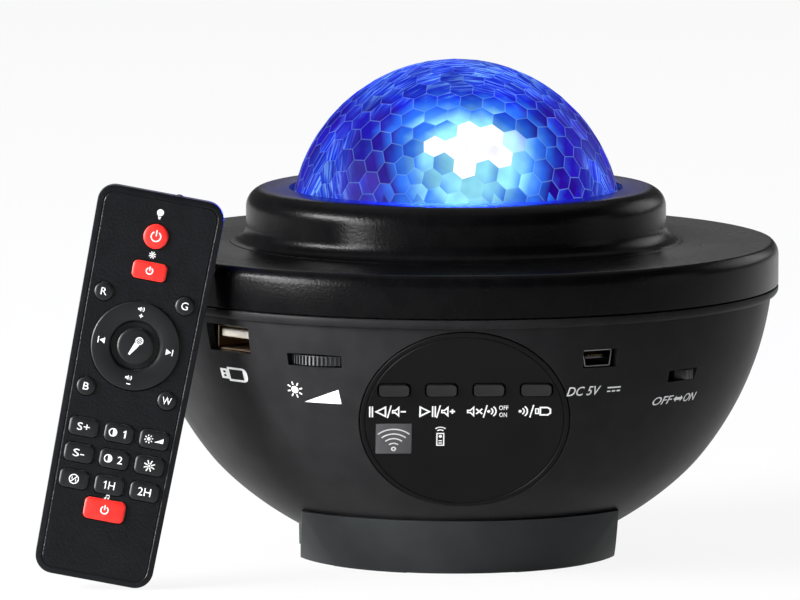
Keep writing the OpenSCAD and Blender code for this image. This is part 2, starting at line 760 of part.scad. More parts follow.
module main_board() color("#1f6b3a") difference() {
    translate([0, 0, board_z]) cylinder(r = board_r, h = board_t, $fn = 180);
    translate([-board_cut_w / 2, -rim_r - board_cut_y, board_z - 1])
        cube([board_cut_w, rim_r, board_t + 2]);
    translate([0, 0, board_z - 1]) {
        at_angles(pillar_at, pillar_angles) cylinder(r = pillar_r + 0.5, h = board_t + 2, $fn = 48);
        at_angles(board_boss_at, board_boss_angles) cylinder(r = screw_r + 0.2, h = board_t + 2, $fn = 32);
        at_port(wheel_az) translate([0, -wheel_at, 0])
            cylinder(r = wheel_shaft_r + 0.2, h = board_t + 2, $fn = 48);
    }
}

module speaker_frame() color("#55585a") revolve() difference() {
    polygon([[0, speaker_z], [speaker_r, speaker_z], [speaker_r, speaker_z + 1.2],
             [speaker_r - 1.4, speaker_z + 1.2], [speaker_r - 1.4, speaker_z + 2.4],
             [magnet_r + 2, frame_top], [0, frame_top]]);
    polygon([[0, speaker_z - 1], [speaker_r - 3.4, speaker_z - 1], [speaker_r - 3.4, speaker_z + 3],
             [magnet_r + 1.4, frame_top - frame_t], [0, frame_top - frame_t]]);
    square([coil_r + 1.2, frame_top + 1]);
}

module speaker_magnet() color("#3a3b3d") translate([0, 0, frame_top]) difference() {
    cylinder(r = magnet_r, h = magnet_t, $fn = 96);
    translate([0, 0, -1]) difference() {
        cylinder(r = coil_r + 0.6, h = 8, $fn = 64);
        cylinder(r = coil_r - 1, h = 9, $fn = 64);
    }
}

module speaker_cone() color("#1b1c1e") revolve() {
    edge_z = speaker_z + cone_travel + 0.6;
    neck_z = frame_top - 2.2;
    polygon([[coil_r, neck_z], [cone_r, edge_z], [cone_r, edge_z + 0.6], [coil_r, neck_z + 0.8]]);
    translate([coil_r - 0.4, neck_z]) square([0.4, 6]);
    translate([0, neck_z]) square([coil_r, 0.4]);
}

// ---- Lamp ----

module lamp_deck() color("#d9dadb") difference() {
    translate([0, 0, deck_z]) cylinder(r = deck_r, h = deck_t, $fn = 180);
    translate([0, 0, deck_z - 1]) {
        translate(lamp_at) cylinder(r = lamp_hole_r, h = deck_t + 2, $fn = 64);
        translate(disc_at) cylinder(r = ripple_shaft_r + 0.3, h = deck_t + 2, $fn = 32);
        translate(laser_at) cylinder(r = laser_r + 0.2, h = deck_t + 2, $fn = 48);
        translate(grating_at) cylinder(r = grating_shaft_r + 0.3, h = deck_t + 2, $fn = 32);
        at_angles(deck_screw_at, deck_screw_angles) cylinder(r = screw_r + 0.2, h = deck_t + 2, $fn = 32);
    }
}

module led_board() color("#e8e6d8") translate([lamp_at[0], lamp_at[1], deck_z - board_t]) {
    cylinder(r = led_board_r, h = board_t, $fn = 64);
    for (x = [-1, 1]) for (y = [-1, 1])
        translate([x * 2.2 - 1.6, y * 2.2 - 1.6, board_t - 0.1]) cube([3.2, 3.2, 1.1]);
}

module heat_sink() color("#9da1a5") translate([lamp_at[0], lamp_at[1], deck_z - board_t - sink_base])
    intersection() {
        translate([0, 0, -sink_h]) cylinder(r = led_board_r, h = sink_h + sink_base, $fn = 64);
        union() {
            translate([-led_board_r, -led_board_r, 0]) cube([2 * led_board_r, 2 * led_board_r, sink_base]);
            for (i = [0:sink_fins - 1])
                translate([-led_board_r + (i + 0.5) * 2 * led_board_r / sink_fins - fin_t / 2,
                           -led_board_r, -sink_h])
                    cube([fin_t, 2 * led_board_r, sink_h + 0.5]);
        }
    }

module lamp_lens() color("#dfe8f4", 0.6) translate([lamp_at[0], lamp_at[1], deck_top]) {
    cylinder(r = lens_flange_r, h = lens_flange_t, $fn = 64);
    cap_r = (lens_r * lens_r + pow(lens_h - lens_flange_t, 2)) / (2 * (lens_h - lens_flange_t));
    intersection() {
        translate([0, 0, lens_h - cap_r]) sphere(r = cap_r, $fn = 96);
        cylinder(r = lens_r, h = lens_h + 1, $fn = 64);
    }
}

module ripple_disc() color("#cfd9ea", 0.6) translate([disc_at[0], disc_at[1], ripple_z]) difference() {
    union() {
        cylinder(r = ripple_r, h = ripple_t, $fn = 128);
        translate([0, 0, -ripple_hub_h]) cylinder(r = ripple_hub_r, h = ripple_hub_h + 0.5, $fn = 48);
    }
    translate([0, 0, -ripple_hub_h - 1])
        cylinder(r = ripple_shaft_r + run, h = ripple_hub_h + ripple_t + 2, $fn = 48);
}

module disc_motor() color("#8f9396") translate([disc_at[0], disc_at[1], deck_z - ripple_motor_h]) {
    cylinder(r = ripple_motor_r, h = ripple_motor_h, $fn = 64);
    cylinder(r = ripple_shaft_r, h = ripple_z + ripple_t - deck_z + ripple_motor_h, $fn = 48);
}

module laser_module() color("#b08d3c") translate([laser_at[0], laser_at[1], deck_top]) {
    translate([0, 0, -laser_h]) cylinder(r = laser_r, h = laser_h + 1, $fn = 48);
    difference() {
        cylinder(r = laser_r + 1, h = 1, $fn = 48);
        translate([0, 0, 0.6]) cylinder(r = 1.5, h = 1, $fn = 32);
    }
}

module grating_disc() color("#cfe6d6", 0.6) translate([grating_at[0], grating_at[1], grating_z])
    difference() {
        cylinder(r = grating_r, h = grating_t, $fn = 96);
        translate([0, 0, -1]) cylinder(r = grating_shaft_r + run, h = grating_t + 2, $fn = 32);
    }

module grating_motor() color("#8f9396") translate([grating_at[0], grating_at[1], deck_z - grating_motor_h]) {
    cylinder(r = grating_motor_r, h = grating_motor_h, $fn = 48);
    cylinder(r = grating_shaft_r, h = grating_z + grating_t - deck_z + grating_motor_h, $fn = 32);
}

// ---- Remote control, drawn lying on its back round its own middle ----

remote_x = -rim_r - remote_out;
remote_low = remote_l / 2 - remote_round;
remote_low_x = remote_foot_w / 2 - remote_round;
remote_z = cos(remote_lean) * cos(remote_roll) * remote_low + sin(remote_roll) * remote_low_x
    + remote_round + 0.1;
// The remote's back clears the rim's shoulder where the remote's right edge passes it
remote_rise = shoulder_z - remote_z;
remote_edge_x = remote_x + remote_w / 2 / cos(remote_roll) + remote_rise * tan(remote_roll);
remote_y = -sqrt(rim_r * rim_r - remote_edge_x * remote_edge_x) - remote_rise * tan(remote_lean) - clear;

module at_remote() translate([remote_x, remote_y, remote_z]) rotate([90 - remote_lean, remote_roll, 0])
    children();

// The remote's outline, drawn in by a distance t
module remote_outline(t) {
    top = [remote_w / 2 - remote_round, remote_l / 2 - remote_round];
    foot = [remote_foot_w / 2 - remote_round, -remote_l / 2 + remote_round];
    hull() for (x = [-1, 1]) for (p = [top, foot])
        translate([x * p[0], p[1]]) circle(r = remote_round - t, $fn = 32);
}

module remote_slab(t, low, high) translate([0, 0, low]) linear_extrude(high - low) remote_outline(t);

module key_outline(size, gap) {
    if (size[1] == 0) circle(d = size[0] + 2 * gap, $fn = 48);
    else rounded(size[0] + 2 * gap, size[1] + 2 * gap, key_corner + gap);
}

// The ring and the microphone key inside it share one round hole
module all_key_outlines(gap) {
    for (key = REMOTE_KEYS) if (key[0] != "remote_mic_key") translate(key[1]) key_outline(key[2], gap);
    translate([0, ring_y]) circle(r = ring_r + gap, $fn = 96);
}

module remote_front_shell() color("#232325") at_remote() difference() {
    union() {
        difference() {
            remote_slab(0, remote_front_z, remote_t - remote_chamfer);
            remote_slab(remote_wall, remote_front_z - 1, remote_plate_z);
        }
        remote_slab(remote_chamfer, remote_plate_z, remote_t);
    }
    translate([0, 0, remote_plate_z - 0.5]) linear_extrude(remote_plate_t + 1)
        all_key_outlines(remote_key_gap);
    ir_led_hole();
}

module ir_led_hole() translate([ir_led_x, ir_led_end - ir_led_gap, ir_led_z])
    rotate([-90, 0, 0]) cylinder(r = ir_led_r + ir_led_gap, h = ir_led_l + 2 * ir_led_r, $fn = 32);

// Notch in the board and the mat for the infrared lamp
module ir_led_notch() translate([ir_led_x, remote_l / 2, ir_led_z])
    cube([2 * ir_led_r + 0.8, 2 * (ir_led_l + ir_led_r + 0.4), 4 * ir_led_r], center = true);

module remote_back_shell() color("#1d1d1f") at_remote() difference() {
    union() {
        difference() {
            remote_slab(0, 0, remote_back_t);
            remote_slab(remote_wall, remote_wall, remote_back_t + 1);
        }
        // tongue inside the front shell's wall
        difference() {
            remote_slab(remote_wall + remote_fit, remote_wall, remote_back_t + remote_lip_h);
            remote_slab(remote_wall + remote_fit + remote_lip, remote_wall - 1, remote_back_t + 2);
        }
        for (x = [-post_x, post_x]) for (y = [-post_y, post_y])
            translate([x, y, 1]) cylinder(r = 1.6, h = remote_board_z - 1, $fn = 32);
        translate([0, coin_y, 0.2]) difference() {
            cylinder(r = door_r + 1, h = remote_wall + 1.4, $fn = 64);
            translate([0, 0, -1]) cylinder(r = coin_r + 0.4, h = remote_wall + 4, $fn = 64);
        }
    }
    translate([0, coin_y, -1]) {
        cylinder(r = door_r + run * 2, h = door_t + 1 + run, $fn = 64);
        cylinder(r = coin_r + 0.4, h = remote_back_t + 1, $fn = 64);
    }
    ir_led_hole();
}

module remote_battery_door() color("#1d1d1f") at_remote() translate([0, coin_y, 0]) difference() {
    cylinder(r = door_r, h = door_t, $fn = 64);
    cube([door_slot[0], door_slot[1], 2 * door_slot[2]], center = true);
}

module remote_battery() color("#c9ccd0") at_remote()
    translate([0, coin_y, door_t + 0.1]) cylinder(r = coin_r, h = coin_t, $fn = 64);

module remote_board() color("#1f6b3a") at_remote() difference() {
    remote_slab(remote_board_inset, remote_board_z, remote_board_z + remote_board_t);
    ir_led_notch();
}

module remote_keypad() color("#2c2c2e") at_remote() {
    low = remote_board_z + remote_board_t;
    difference() {
        remote_slab(remote_board_inset + 0.2, low, low + mat_t);
        translate([0, 0, low - 1]) linear_extrude(mat_t + 2) all_key_outlines(remote_flange + mat_gap);
        ir_led_notch();
    }
}

module remote_ir_led() color("#7d7a8c") at_remote()
    translate([ir_led_x, ir_led_end, ir_led_z]) rotate([-90, 0, 0])
        rotate_extrude($fn = 48) {
            square([ir_led_r, ir_led_l]);
            intersection() {
                translate([0, ir_led_l]) circle(r = ir_led_r);
                square([ir_led_r, ir_led_l + ir_led_r]);
            }
        }

// Stretches a key's outline from one height to another
module key_between(low, high) translate([0, 0, low]) linear_extrude(high - low) children();

module remote_key(key) {
    red = key[0] == "remote_lamp_key" || key[0] == "remote_laser_key" || key[0] == "remote_music_key";
    low = remote_flange_top - remote_flange_t;
    flange = key[0] == "remote_mic_key" ? mic_flange : remote_flange;
    color(red ? "#d3222a" : "#2b2c2f") at_remote() translate(key[1]) {
        key_between(low, remote_t + remote_key_proud) key_outline(key[2], 0);
        key_between(low, remote_flange_top) key_outline(key[2], flange);
    }
}

module ring_outline(r) difference() {
    circle(r = r, $fn = 96);
    circle(r = ring_in_r, $fn = 64);
}

// The ring's flange lies lower than the keys' flanges, which leaves it room to tilt
module remote_ring_key() color("#2b2c2f") at_remote() translate([0, ring_y, 0]) {
    low = remote_flange_top - ring_drop - remote_flange_t;
    key_between(low, remote_t + remote_key_proud) ring_outline(ring_r);
    key_between(low, remote_flange_top - ring_drop) ring_outline(ring_r + remote_flange);
}

bowl_shell();
top_cover();
dome();
base_cover();
foot_pads();
short_screws();
cover_screws();
control_panel();
previous_button();
play_button();
mute_button();
mode_button();
ir_window();
thumbwheel();
thumbwheel_pot();
power_switch_knob();
power_switch_body();
usb_a_socket();
power_socket();
main_board();
panel_board();
tact_switches();
ir_receiver();
speaker_frame();
speaker_magnet();
speaker_cone();
lamp_deck();
led_board();
heat_sink();
lamp_lens();
ripple_disc();
disc_motor();
laser_module();
grating_disc();
grating_motor();
remote_front_shell();
remote_back_shell();
remote_battery_door();
remote_keypad();
remote_board();
remote_battery();
remote_ir_led();
remote_ring_key();
for (key = REMOTE_KEYS) remote_key(key);
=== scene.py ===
import math
import random

import bmesh
import bpy
from mathutils import Matrix, Vector


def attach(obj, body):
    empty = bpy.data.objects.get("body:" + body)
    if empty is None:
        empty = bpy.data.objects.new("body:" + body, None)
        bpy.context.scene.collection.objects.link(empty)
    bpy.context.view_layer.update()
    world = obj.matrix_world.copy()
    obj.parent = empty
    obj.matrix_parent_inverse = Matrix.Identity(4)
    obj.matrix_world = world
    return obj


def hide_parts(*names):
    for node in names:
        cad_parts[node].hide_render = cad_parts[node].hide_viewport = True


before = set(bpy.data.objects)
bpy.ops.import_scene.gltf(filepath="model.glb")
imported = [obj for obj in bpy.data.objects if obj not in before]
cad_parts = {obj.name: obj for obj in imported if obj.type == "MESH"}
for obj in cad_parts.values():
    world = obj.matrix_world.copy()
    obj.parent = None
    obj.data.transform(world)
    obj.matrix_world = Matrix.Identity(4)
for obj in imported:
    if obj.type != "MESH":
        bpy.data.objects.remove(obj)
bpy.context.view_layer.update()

# ---- Sizes, in millimetres and degrees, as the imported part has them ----

RIM_R = 82.49
SEAM_Z, SEAM_GAP = 69.2, 0.3
BOWL_R, BOWL_CZ = 81.25, 77.0
FLOOR_Z, FLOOR_HOLE_R = 8.5, 28.5
WALL = 2.2
TUCK, TUCK_Z = 2.2, 25.0
LEG_R, LEG_WALL, LEG_TOP_R, LEG_TOP_Z, LEG_LOW = 42.0, 3.0, 52.7, 15.0, 0.15
LEG_HALF_W, SIDE_GAP_W = 40.1, 22.0
GRILLE_R, GRILLE_RINGS = 1.6, (6, 12, 18)
LIP_H, LIP_ROUND = 2.5, 1.7
PLATE_Z, SHOULDER_Z, RIM_ROUND = 80.2, 77.0, 4.0
COLLAR_R, COLLAR_Z, COLLAR_ROUND, FLARE_ROUND = 53.7, 94.0, 5.0, 4.0
TONGUE_R, TONGUE_WALL = 77.9, 1.5
DOME_R, DOME_CZ, DOME_WALL = 42.3, 84.3, 1.6

PANEL_R, PANEL_TILT, PANEL_T = 26.0, 26.5, 1.7
PANEL_D = math.sqrt(BOWL_R**2 - PANEL_R**2)
KEY_W, KEY_H, KEY_PROUD = 7.4, 3.3, 0.4
KEY_PITCH, KEY_UP = 11.75, 9.1
IR_AT, IR_SIZE = (-17.6, -5.4), 9.0

USB_AZ, USB_Z, USB_W, USB_H, USB_INSET = -47.4, 61.4, 14.8, 6.6, 3.2
WHEEL_AZ, WHEEL_Z, WHEEL_R, WHEEL_T, WHEEL_PROUD = -28.3, 57.8, 10.5, 2.3, 0.8
INLET_AZ, INLET_Z, INLET_W, INLET_H, INLET_INSET = 25.2, 58.3, 9.4, 4.5, 2.0
SWITCH_AZ, SWITCH_Z, SWITCH_W, SWITCH_H = 45.3, 51.9, 10.0, 2.7

REMOTE_L, REMOTE_W, REMOTE_FOOT_W, REMOTE_T = 97.98, 31.93, 29.53, 7.5
REMOTE_ROUND, REMOTE_BACK_T, REMOTE_GROOVE = 4.5, 3.7, 0.25
REMOTE_ROLL, REMOTE_LEAN = 10.9, 3.0
REMOTE_AT = (-83.7, -55.855, 50.185)
RING_Y, RING_R, RING_IN_R, MIC_R = 10.5, 11.1, 6.1, 4.5
KEY_TOP, KEY_FOOT = REMOTE_T + 0.7, 5.75
GRID_X, GRID_Y, GRID_TOP_Y = 8.9, 6.6, -11.6
DOOR_Y, DOOR_R = -22, 11.6

INK_T, INK_LIFT = 0.05, 0.02
MERGE_WITHIN = 0.0005
MM = 0.001


def turn(degrees, axis):
    return Matrix.Rotation(math.radians(degrees), 4, axis)


def move(x, y, z):
    return Matrix.Translation((x, y, z))


HOUSING = Matrix.Identity(4)
PANEL = move(0, 0, BOWL_CZ) @ turn(90 + PANEL_TILT, "X")
REMOTE = move(*REMOTE_AT) @ turn(REMOTE_ROLL, "Y") @ turn(90 - REMOTE_LEAN, "X")


def port(azimuth):
    """The frame of a port: drawn facing -Y, then turned about the projector's axis."""
    return turn(azimuth, "Z")


def facing_out(azimuth, x, y, z):
    """The frame of a piece in a port, whose own Z points out of the bowl."""
    return port(azimuth) @ move(x, y, z) @ turn(90, "X")


def ball_r(z, r=BOWL_R):
    """Radius of the bowl's ball at height z."""
    return math.sqrt(r * r - (z - BOWL_CZ) ** 2)


# ---- Modelling steps ----


def deselect():
    if bpy.context.object and bpy.context.object.mode != "OBJECT":
        bpy.ops.object.mode_set(mode="OBJECT")
    bpy.ops.object.select_all(action="DESELECT")


def only(obj):
    deselect()
    obj.select_set(True)
    bpy.context.view_layer.objects.active = obj
    return obj


def edit(obj):
    """Opens a piece in edit mode."""
    only(obj)
    bpy.ops.object.mode_set(mode="EDIT")


def select_all():
    bpy.ops.mesh.select_all(action="SELECT")


def start(name):
    """Names the primitive that was just added and opens it in edit mode, all selected."""
    obj = bpy.context.object
    obj.name = obj.data.name = name
    edit(obj)
    bpy.ops.mesh.select_mode(type="VERT")
    select_all()
    return obj


def done(obj):
    """Leaves edit mode with doubles merged and the faces pointing outwards."""
    select_all()
    bpy.ops.mesh.remove_doubles(threshold=MERGE_WITHIN)
    bpy.ops.mesh.normals_make_consistent(inside=False)
    bpy.ops.object.mode_set(mode="OBJECT")
    return obj


def pick(obj, kind, test):
    """Selects the faces or edges of the mesh in edit mode whose middle and direction pass the test."""
    mesh = bmesh.from_edit_mesh(obj.data)
    bpy.ops.mesh.select_mode(type={"faces": "FACE", "edges": "EDGE"}[kind])
    bpy.ops.mesh.select_all(action="DESELECT")
    mesh.normal_update()
    for item in getattr(mesh, kind):
        if kind == "faces":
            middle, direction = item.calc_center_median(), item.normal
        else:
            first, second = (vertex.co for vertex in item.verts)
            middle, direction = (first + second) / 2, first - second
        if test(middle, direction):
            item.select_set(True)
    mesh.select_flush_mode()
    bmesh.update_edit_mesh(obj.data)


def edit_top(obj):
    """Opens a piece in edit mode with its upper faces selected."""
    edit(obj)
    pick(obj, "faces", lambda middle, normal: normal.z > 0.9)


def pull(height):
    """Extrudes what is selected upwards."""
    bpy.ops.mesh.extrude_region_move(TRANSFORM_OT_translate={"value": (0, 0, height)})


def step_in(*steps, **settings):
    """Insets the selected faces in steps, each as (width, height)."""
    for width, height in steps:
        bpy.ops.mesh.inset(thickness=width, depth=height, **settings)


def apply_modifiers(obj):
    only(obj)
    for modifier in list(obj.modifiers):
        bpy.ops.object.modifier_apply(modifier=modifier.name)
    return obj


def cut(obj, cutters):
    """Cuts the cutters out of a piece."""
    for cutter in cutters:
        modifier = obj.modifiers.new("cut", "BOOLEAN")
        modifier.operation = "DIFFERENCE"
        modifier.solver = "EXACT"
        modifier.object = cutter
    apply_modifiers(obj)
    for cutter in cutters:
        bpy.data.objects.remove(cutter)


def join(pieces, name=None):
    only(pieces[0])
    for piece in pieces:
        piece.select_set(True)
    bpy.ops.object.join()
    if name:
        pieces[0].name = name
    return pieces[0]


def settle(obj, place, body, material, replaces=(), smooth=30):
    """Puts a finished piece's place into its mesh, and says what it rides on and stands for."""
    only(obj)
    obj.data.transform(obj.matrix_world)
    obj.matrix_world = Matrix.Identity(4)
    obj.data.transform(Matrix.Scale(MM, 4) @ place)
    if smooth:
        bpy.ops.object.shade_smooth_by_angle(angle=math.radians(smooth))
    else:
        bpy.ops.object.shade_flat()
    obj.data.materials.clear()
    obj.data.materials.append(material)
    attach(obj, body)
    if replaces:
        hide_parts(*replaces)
    return obj


def arc(centre, r, first, last, steps):
    """Points of an arc, from one angle to another in degrees."""
    angles = [math.radians(first + (last - first) * i / steps) for i in range(steps + 1)]
    return [(centre[0] + r * math.cos(a), centre[1] + r * math.sin(a)) for a in angles]


def lathe(name, outline, steps=192):
    """Extrudes a closed outline of (radius, height) points from one vertex, and spins it."""
    bpy.ops.mesh.primitive_plane_add(size=1)
    obj = start(name)
    bpy.ops.mesh.merge(type="CENTER")
    bpy.ops.transform.translate(value=(outline[0][0], 0, outline[0][1]))
    for (r, z), (next_r, next_z) in zip(outline, outline[1:]):
        bpy.ops.mesh.extrude_vertices_move(TRANSFORM_OT_translate={"value": (next_r - r, 0, next_z - z)})
    select_all()
    ring = bmesh.from_edit_mesh(obj.data)
    ring.verts.ensure_lookup_table()
    if outline[0][0] > 0 or outline[-1][0] > 0:
        ring.edges.new((ring.verts[len(outline) - 1], ring.verts[0]))
    bmesh.update_edit_mesh(obj.data)
    select_all()
    bpy.ops.mesh.spin(steps=steps, angle=2 * math.pi, center=(0, 0, 0), axis=(0, 0, 1))
    return done(obj)


def bar(name, w, h, corner, low, high, taper=0, segments=8):
    """A rectangle with round corners, extruded from one height to another; the foot may be narrower."""
    bpy.ops.mesh.primitive_plane_add(size=1, location=(0, 0, low))
    obj = start(name)
    bpy.ops.transform.resize(value=(w, h, 1), center_override=(0, 0, low))
    if taper:
        for vertex in bmesh.from_edit_mesh(obj.data).verts:
            if vertex.co.y < 0:
                vertex.co.x -= math.copysign(taper / 2, vertex.co.x)
    bpy.ops.mesh.bevel(offset=corner, segments=segments, affect="VERTICES")
    select_all()
    pull(high - low)
    return done(obj)


def block(name, size, at):
    bpy.ops.mesh.primitive_cube_add(size=1, location=at, scale=size)
    return done(start(name))


def rod(name, r, depth, at, vertices=96, **turned):
    bpy.ops.mesh.primitive_cylinder_add(vertices=vertices, radius=r, depth=depth, location=at, **turned)
    return done(start(name))


def soften(obj, width, test, segments=3):
    """Bevels the edges that pass the test."""
    edit(obj)
    pick(obj, "edges", test)
    bpy.ops.mesh.bevel(offset=width, segments=segments, affect="EDGES", clamp_overlap=True)
    done(obj)


def soften_all(obj, width, segments=2, angle=40):
    """Bevels every edge that is sharper than the angle."""
    modifier = obj.modifiers.new("soft_edges", "BEVEL")
    modifier.width = width
    modifier.segments = segments
    modifier.limit_method = "ANGLE"
    modifier.angle_limit = math.radians(angle)
    apply_modifiers(obj)


# ---- Materials ----


def hex_colour(code):
    """An sRGB hex value as the linear colour that the shader takes."""
    values = [int(code[i : i + 2], 16) / 255 for i in (1, 3, 5)]
    linear = [v / 12.92 if v <= 0.04045 else ((v + 0.055) / 1.055) ** 2.4 for v in values]
    return (*linear, 1.0)


def add(tree, kind, settings=None, inputs=None):
    """Adds a node to a tree with its own settings, and its inputs as values or as links."""
    node = tree.nodes.new(kind)
    for name, value in (settings or {}).items():
        setattr(node, name, value)
    for name, value in (inputs or {}).items():
        if isinstance(value, bpy.types.NodeSocket):
            tree.links.new(value, node.inputs[name])
        else:
            node.inputs[name].default_value = value
    return node


def per_mm(size):
    """Scale of a texture whose detail is that many millimetres wide, on coordinates in metres."""
    return 1 / (size * MM)


def mottle(tree, coords, size, detail):
    """Soft noise that is as wide as given, in millimetres, from 0 to 1."""
    inputs = {"Vector": coords, "Scale": per_mm(size), "Detail": detail}
    return add(tree, "ShaderNodeTexNoise", None, inputs).outputs["Fac"]


def ramp(tree, factor, *stops):
    """A colour ramp with its stops as (place, colour)."""
    node = add(tree, "ShaderNodeValToRGB", None, {"Fac": factor})
    while len(node.color_ramp.elements) < len(stops):
        node.color_ramp.elements.new(0.5)
    for element, (place, colour) in zip(node.color_ramp.elements, stops):
        element.position = place
        element.color = colour
    return node.outputs["Color"]


def material(name, colour, roughness, ior=1.5, metallic=0.0, **sockets):
    """A material with its plain values on the shader's own sockets, its tree and its object coordinates."""
    made = bpy.data.materials.new(name)
    made.use_nodes = True
    tree = made.node_tree
    shader = tree.nodes["Principled BSDF"]
    shader.inputs["Base Color"].default_value = hex_colour(colour)
    shader.inputs["Roughness"].default_value = roughness
    shader.inputs["Metallic"].default_value = metallic
    if not metallic:
        shader.inputs["IOR"].default_value = ior
    for socket, value in sockets.items():
        shader.inputs[socket.replace("_", " ")].default_value = value
    coords = add(tree, "ShaderNodeTexCoord").outputs["Object"]
    return made, tree, shader, coords


def moulded(name, colour, roughness, ior=1.53, tints=None, shine=None, grain=None, **sockets):
    """A moulded or printed material. tints: two close colours in patches, as (size, first, second);
    shine: slow changes of the roughness, as (size, low, high); grain: a bump, as (size, height, detail)."""
    made, tree, shader, coords = material(name, colour, roughness, ior, **sockets)
    if tints:
        size, first, second = tints
        patches = ramp(tree, mottle(tree, coords, size, 4.0),
                       (0.35, hex_colour(first)), (0.65, hex_colour(second)))
        tree.links.new(patches, shader.inputs["Base Color"])
    if shine:
        size, low, high = shine
        spread = add(tree, "ShaderNodeMapRange", None, {
            "Value": mottle(tree, coords, size, 3.0), "From Min": 0.3, "From Max": 0.7,
            "To Min": low, "To Max": high})
        tree.links.new(spread.outputs["Result"], shader.inputs["Roughness"])
    if grain:
        size, height, detail = grain
        bump = add(tree, "ShaderNodeBump", None, {
            "Height": mottle(tree, coords, size, detail), "Distance": height * MM, "Strength": 1.0})
        tree.links.new(bump.outputs["Normal"], shader.inputs["Normal"])
    return made


def plain_plastic(name, first, second, roughness, ior=1.53):
    """A moulded plastic inside the housing: two near shades and a fine grain."""
    return moulded(name, first, roughness, ior, (5, first, second), grain=(0.4, 0.012, 2.0))


def silicone(name, first, second, roughness):
    """Moulded silicone rubber: matt, with a soft dusty sheen and no sharp highlight."""
    return moulded(name, first, roughness, 1.41, (3, first, second), grain=(0.2, 0.006, 2.0),
                   Sheen_Weight=0.04, Sheen_Roughness=0.4, Specular_IOR_Level=0.45)


def clear_acrylic(name, colour, roughness):
    """Clear moulded acrylic, a little wavy."""
    return moulded(name, colour, roughness, 1.49, grain=(3, 0.05, 1.0), Transmission_Weight=0.9)


def metal(name, colour, roughness):
    """Plated, drawn or turned metal: its colour, and fine streaks in its shine."""
    scratch = 0.08
    made, tree, shader, coords = material(name, colour, roughness, metallic=1.0)
    stretched = add(tree, "ShaderNodeMapping", None, {"Vector": coords, "Scale": (1, 1, 12)})
    spread = add(tree, "ShaderNodeMapRange", None, {
        "Value": mottle(tree, stretched.outputs["Vector"], 1.2, 4.0),
        "To Min": roughness - scratch, "To Max": roughness + scratch})
    tree.links.new(spread.outputs["Result"], shader.inputs["Roughness"])
    return made


def circuit_board():
    """Glass-epoxy board under green solder mask: darker lines where the copper runs."""
    made, tree, shader, coords = material("green_circuit_board", "#1c5c36", 0.35, 1.55)
    lines = add(tree, "ShaderNodeTexBrick", {"offset": 0.37, "squash": 0.6}, {
        "Vector": coords, "Scale": per_mm(14), "Mortar Size": 0.03, "Color1": hex_colour("#1f6b3c"),
        "Color2": hex_colour("#1a5a33"), "Mortar": hex_colour("#2f8a55")})
    tree.links.new(lines.outputs["Color"], shader.inputs["Base Color"])
    return made


def dome_acrylic():
    """Clear faceted acrylic lit from inside, with that light painted into its emission: each facet carries
    its own painted share of the light, the outer ones broken into streaks, under a polished surface."""
    made, tree, shader, coords = material("dome_lit_acrylic", "#010214", 0.42, 1.49, Specular_IOR_Level=0.02)
    glow, facet, flow = (add(tree, "ShaderNodeAttribute", {"attribute_name": name})
                         for name in ("glow", "facet", "flow"))
    parts = add(tree, "ShaderNodeSeparateColor", None, {"Color": facet.outputs["Color"]})
    # painted streaks of light about 0.8 mm wide that run round the lamp and start anew in each facet
    noise = add(tree, "ShaderNodeTexNoise", None,
                {"Vector": flow.outputs["Vector"], "Scale": 1.0, "Detail": 2.5})
    streak = ramp(tree, noise.outputs["Fac"], (0.38, (0.22, 0.28, 0.7, 1)), (0.5, (1.0, 1.0, 1.0, 1)),
                  (0.63, (5.5, 4.4, 1.3, 1)))
    product = {"data_type": "RGBA", "blend_type": "MULTIPLY"}
    streaked = add(tree, "ShaderNodeMix", product,
                   {"Factor": parts.outputs["Red"], 6: glow.outputs["Color"], 7: streak})
    # painted light that brightens and dims softly across each facet
    shade = ramp(tree, mottle(tree, coords, 5, 1.0), (0.3, (0.8, 0.8, 0.85, 1)), (0.7, (1.15, 1.15, 1.1, 1)))
    lit = add(tree, "ShaderNodeMix", product, {"Factor": 1.0, 6: streaked.outputs[2], 7: shade})
    tree.links.new(lit.outputs[2], shader.inputs["Emission Color"])
    shader.inputs["Emission Strength"].default_value = 1.0
    return made


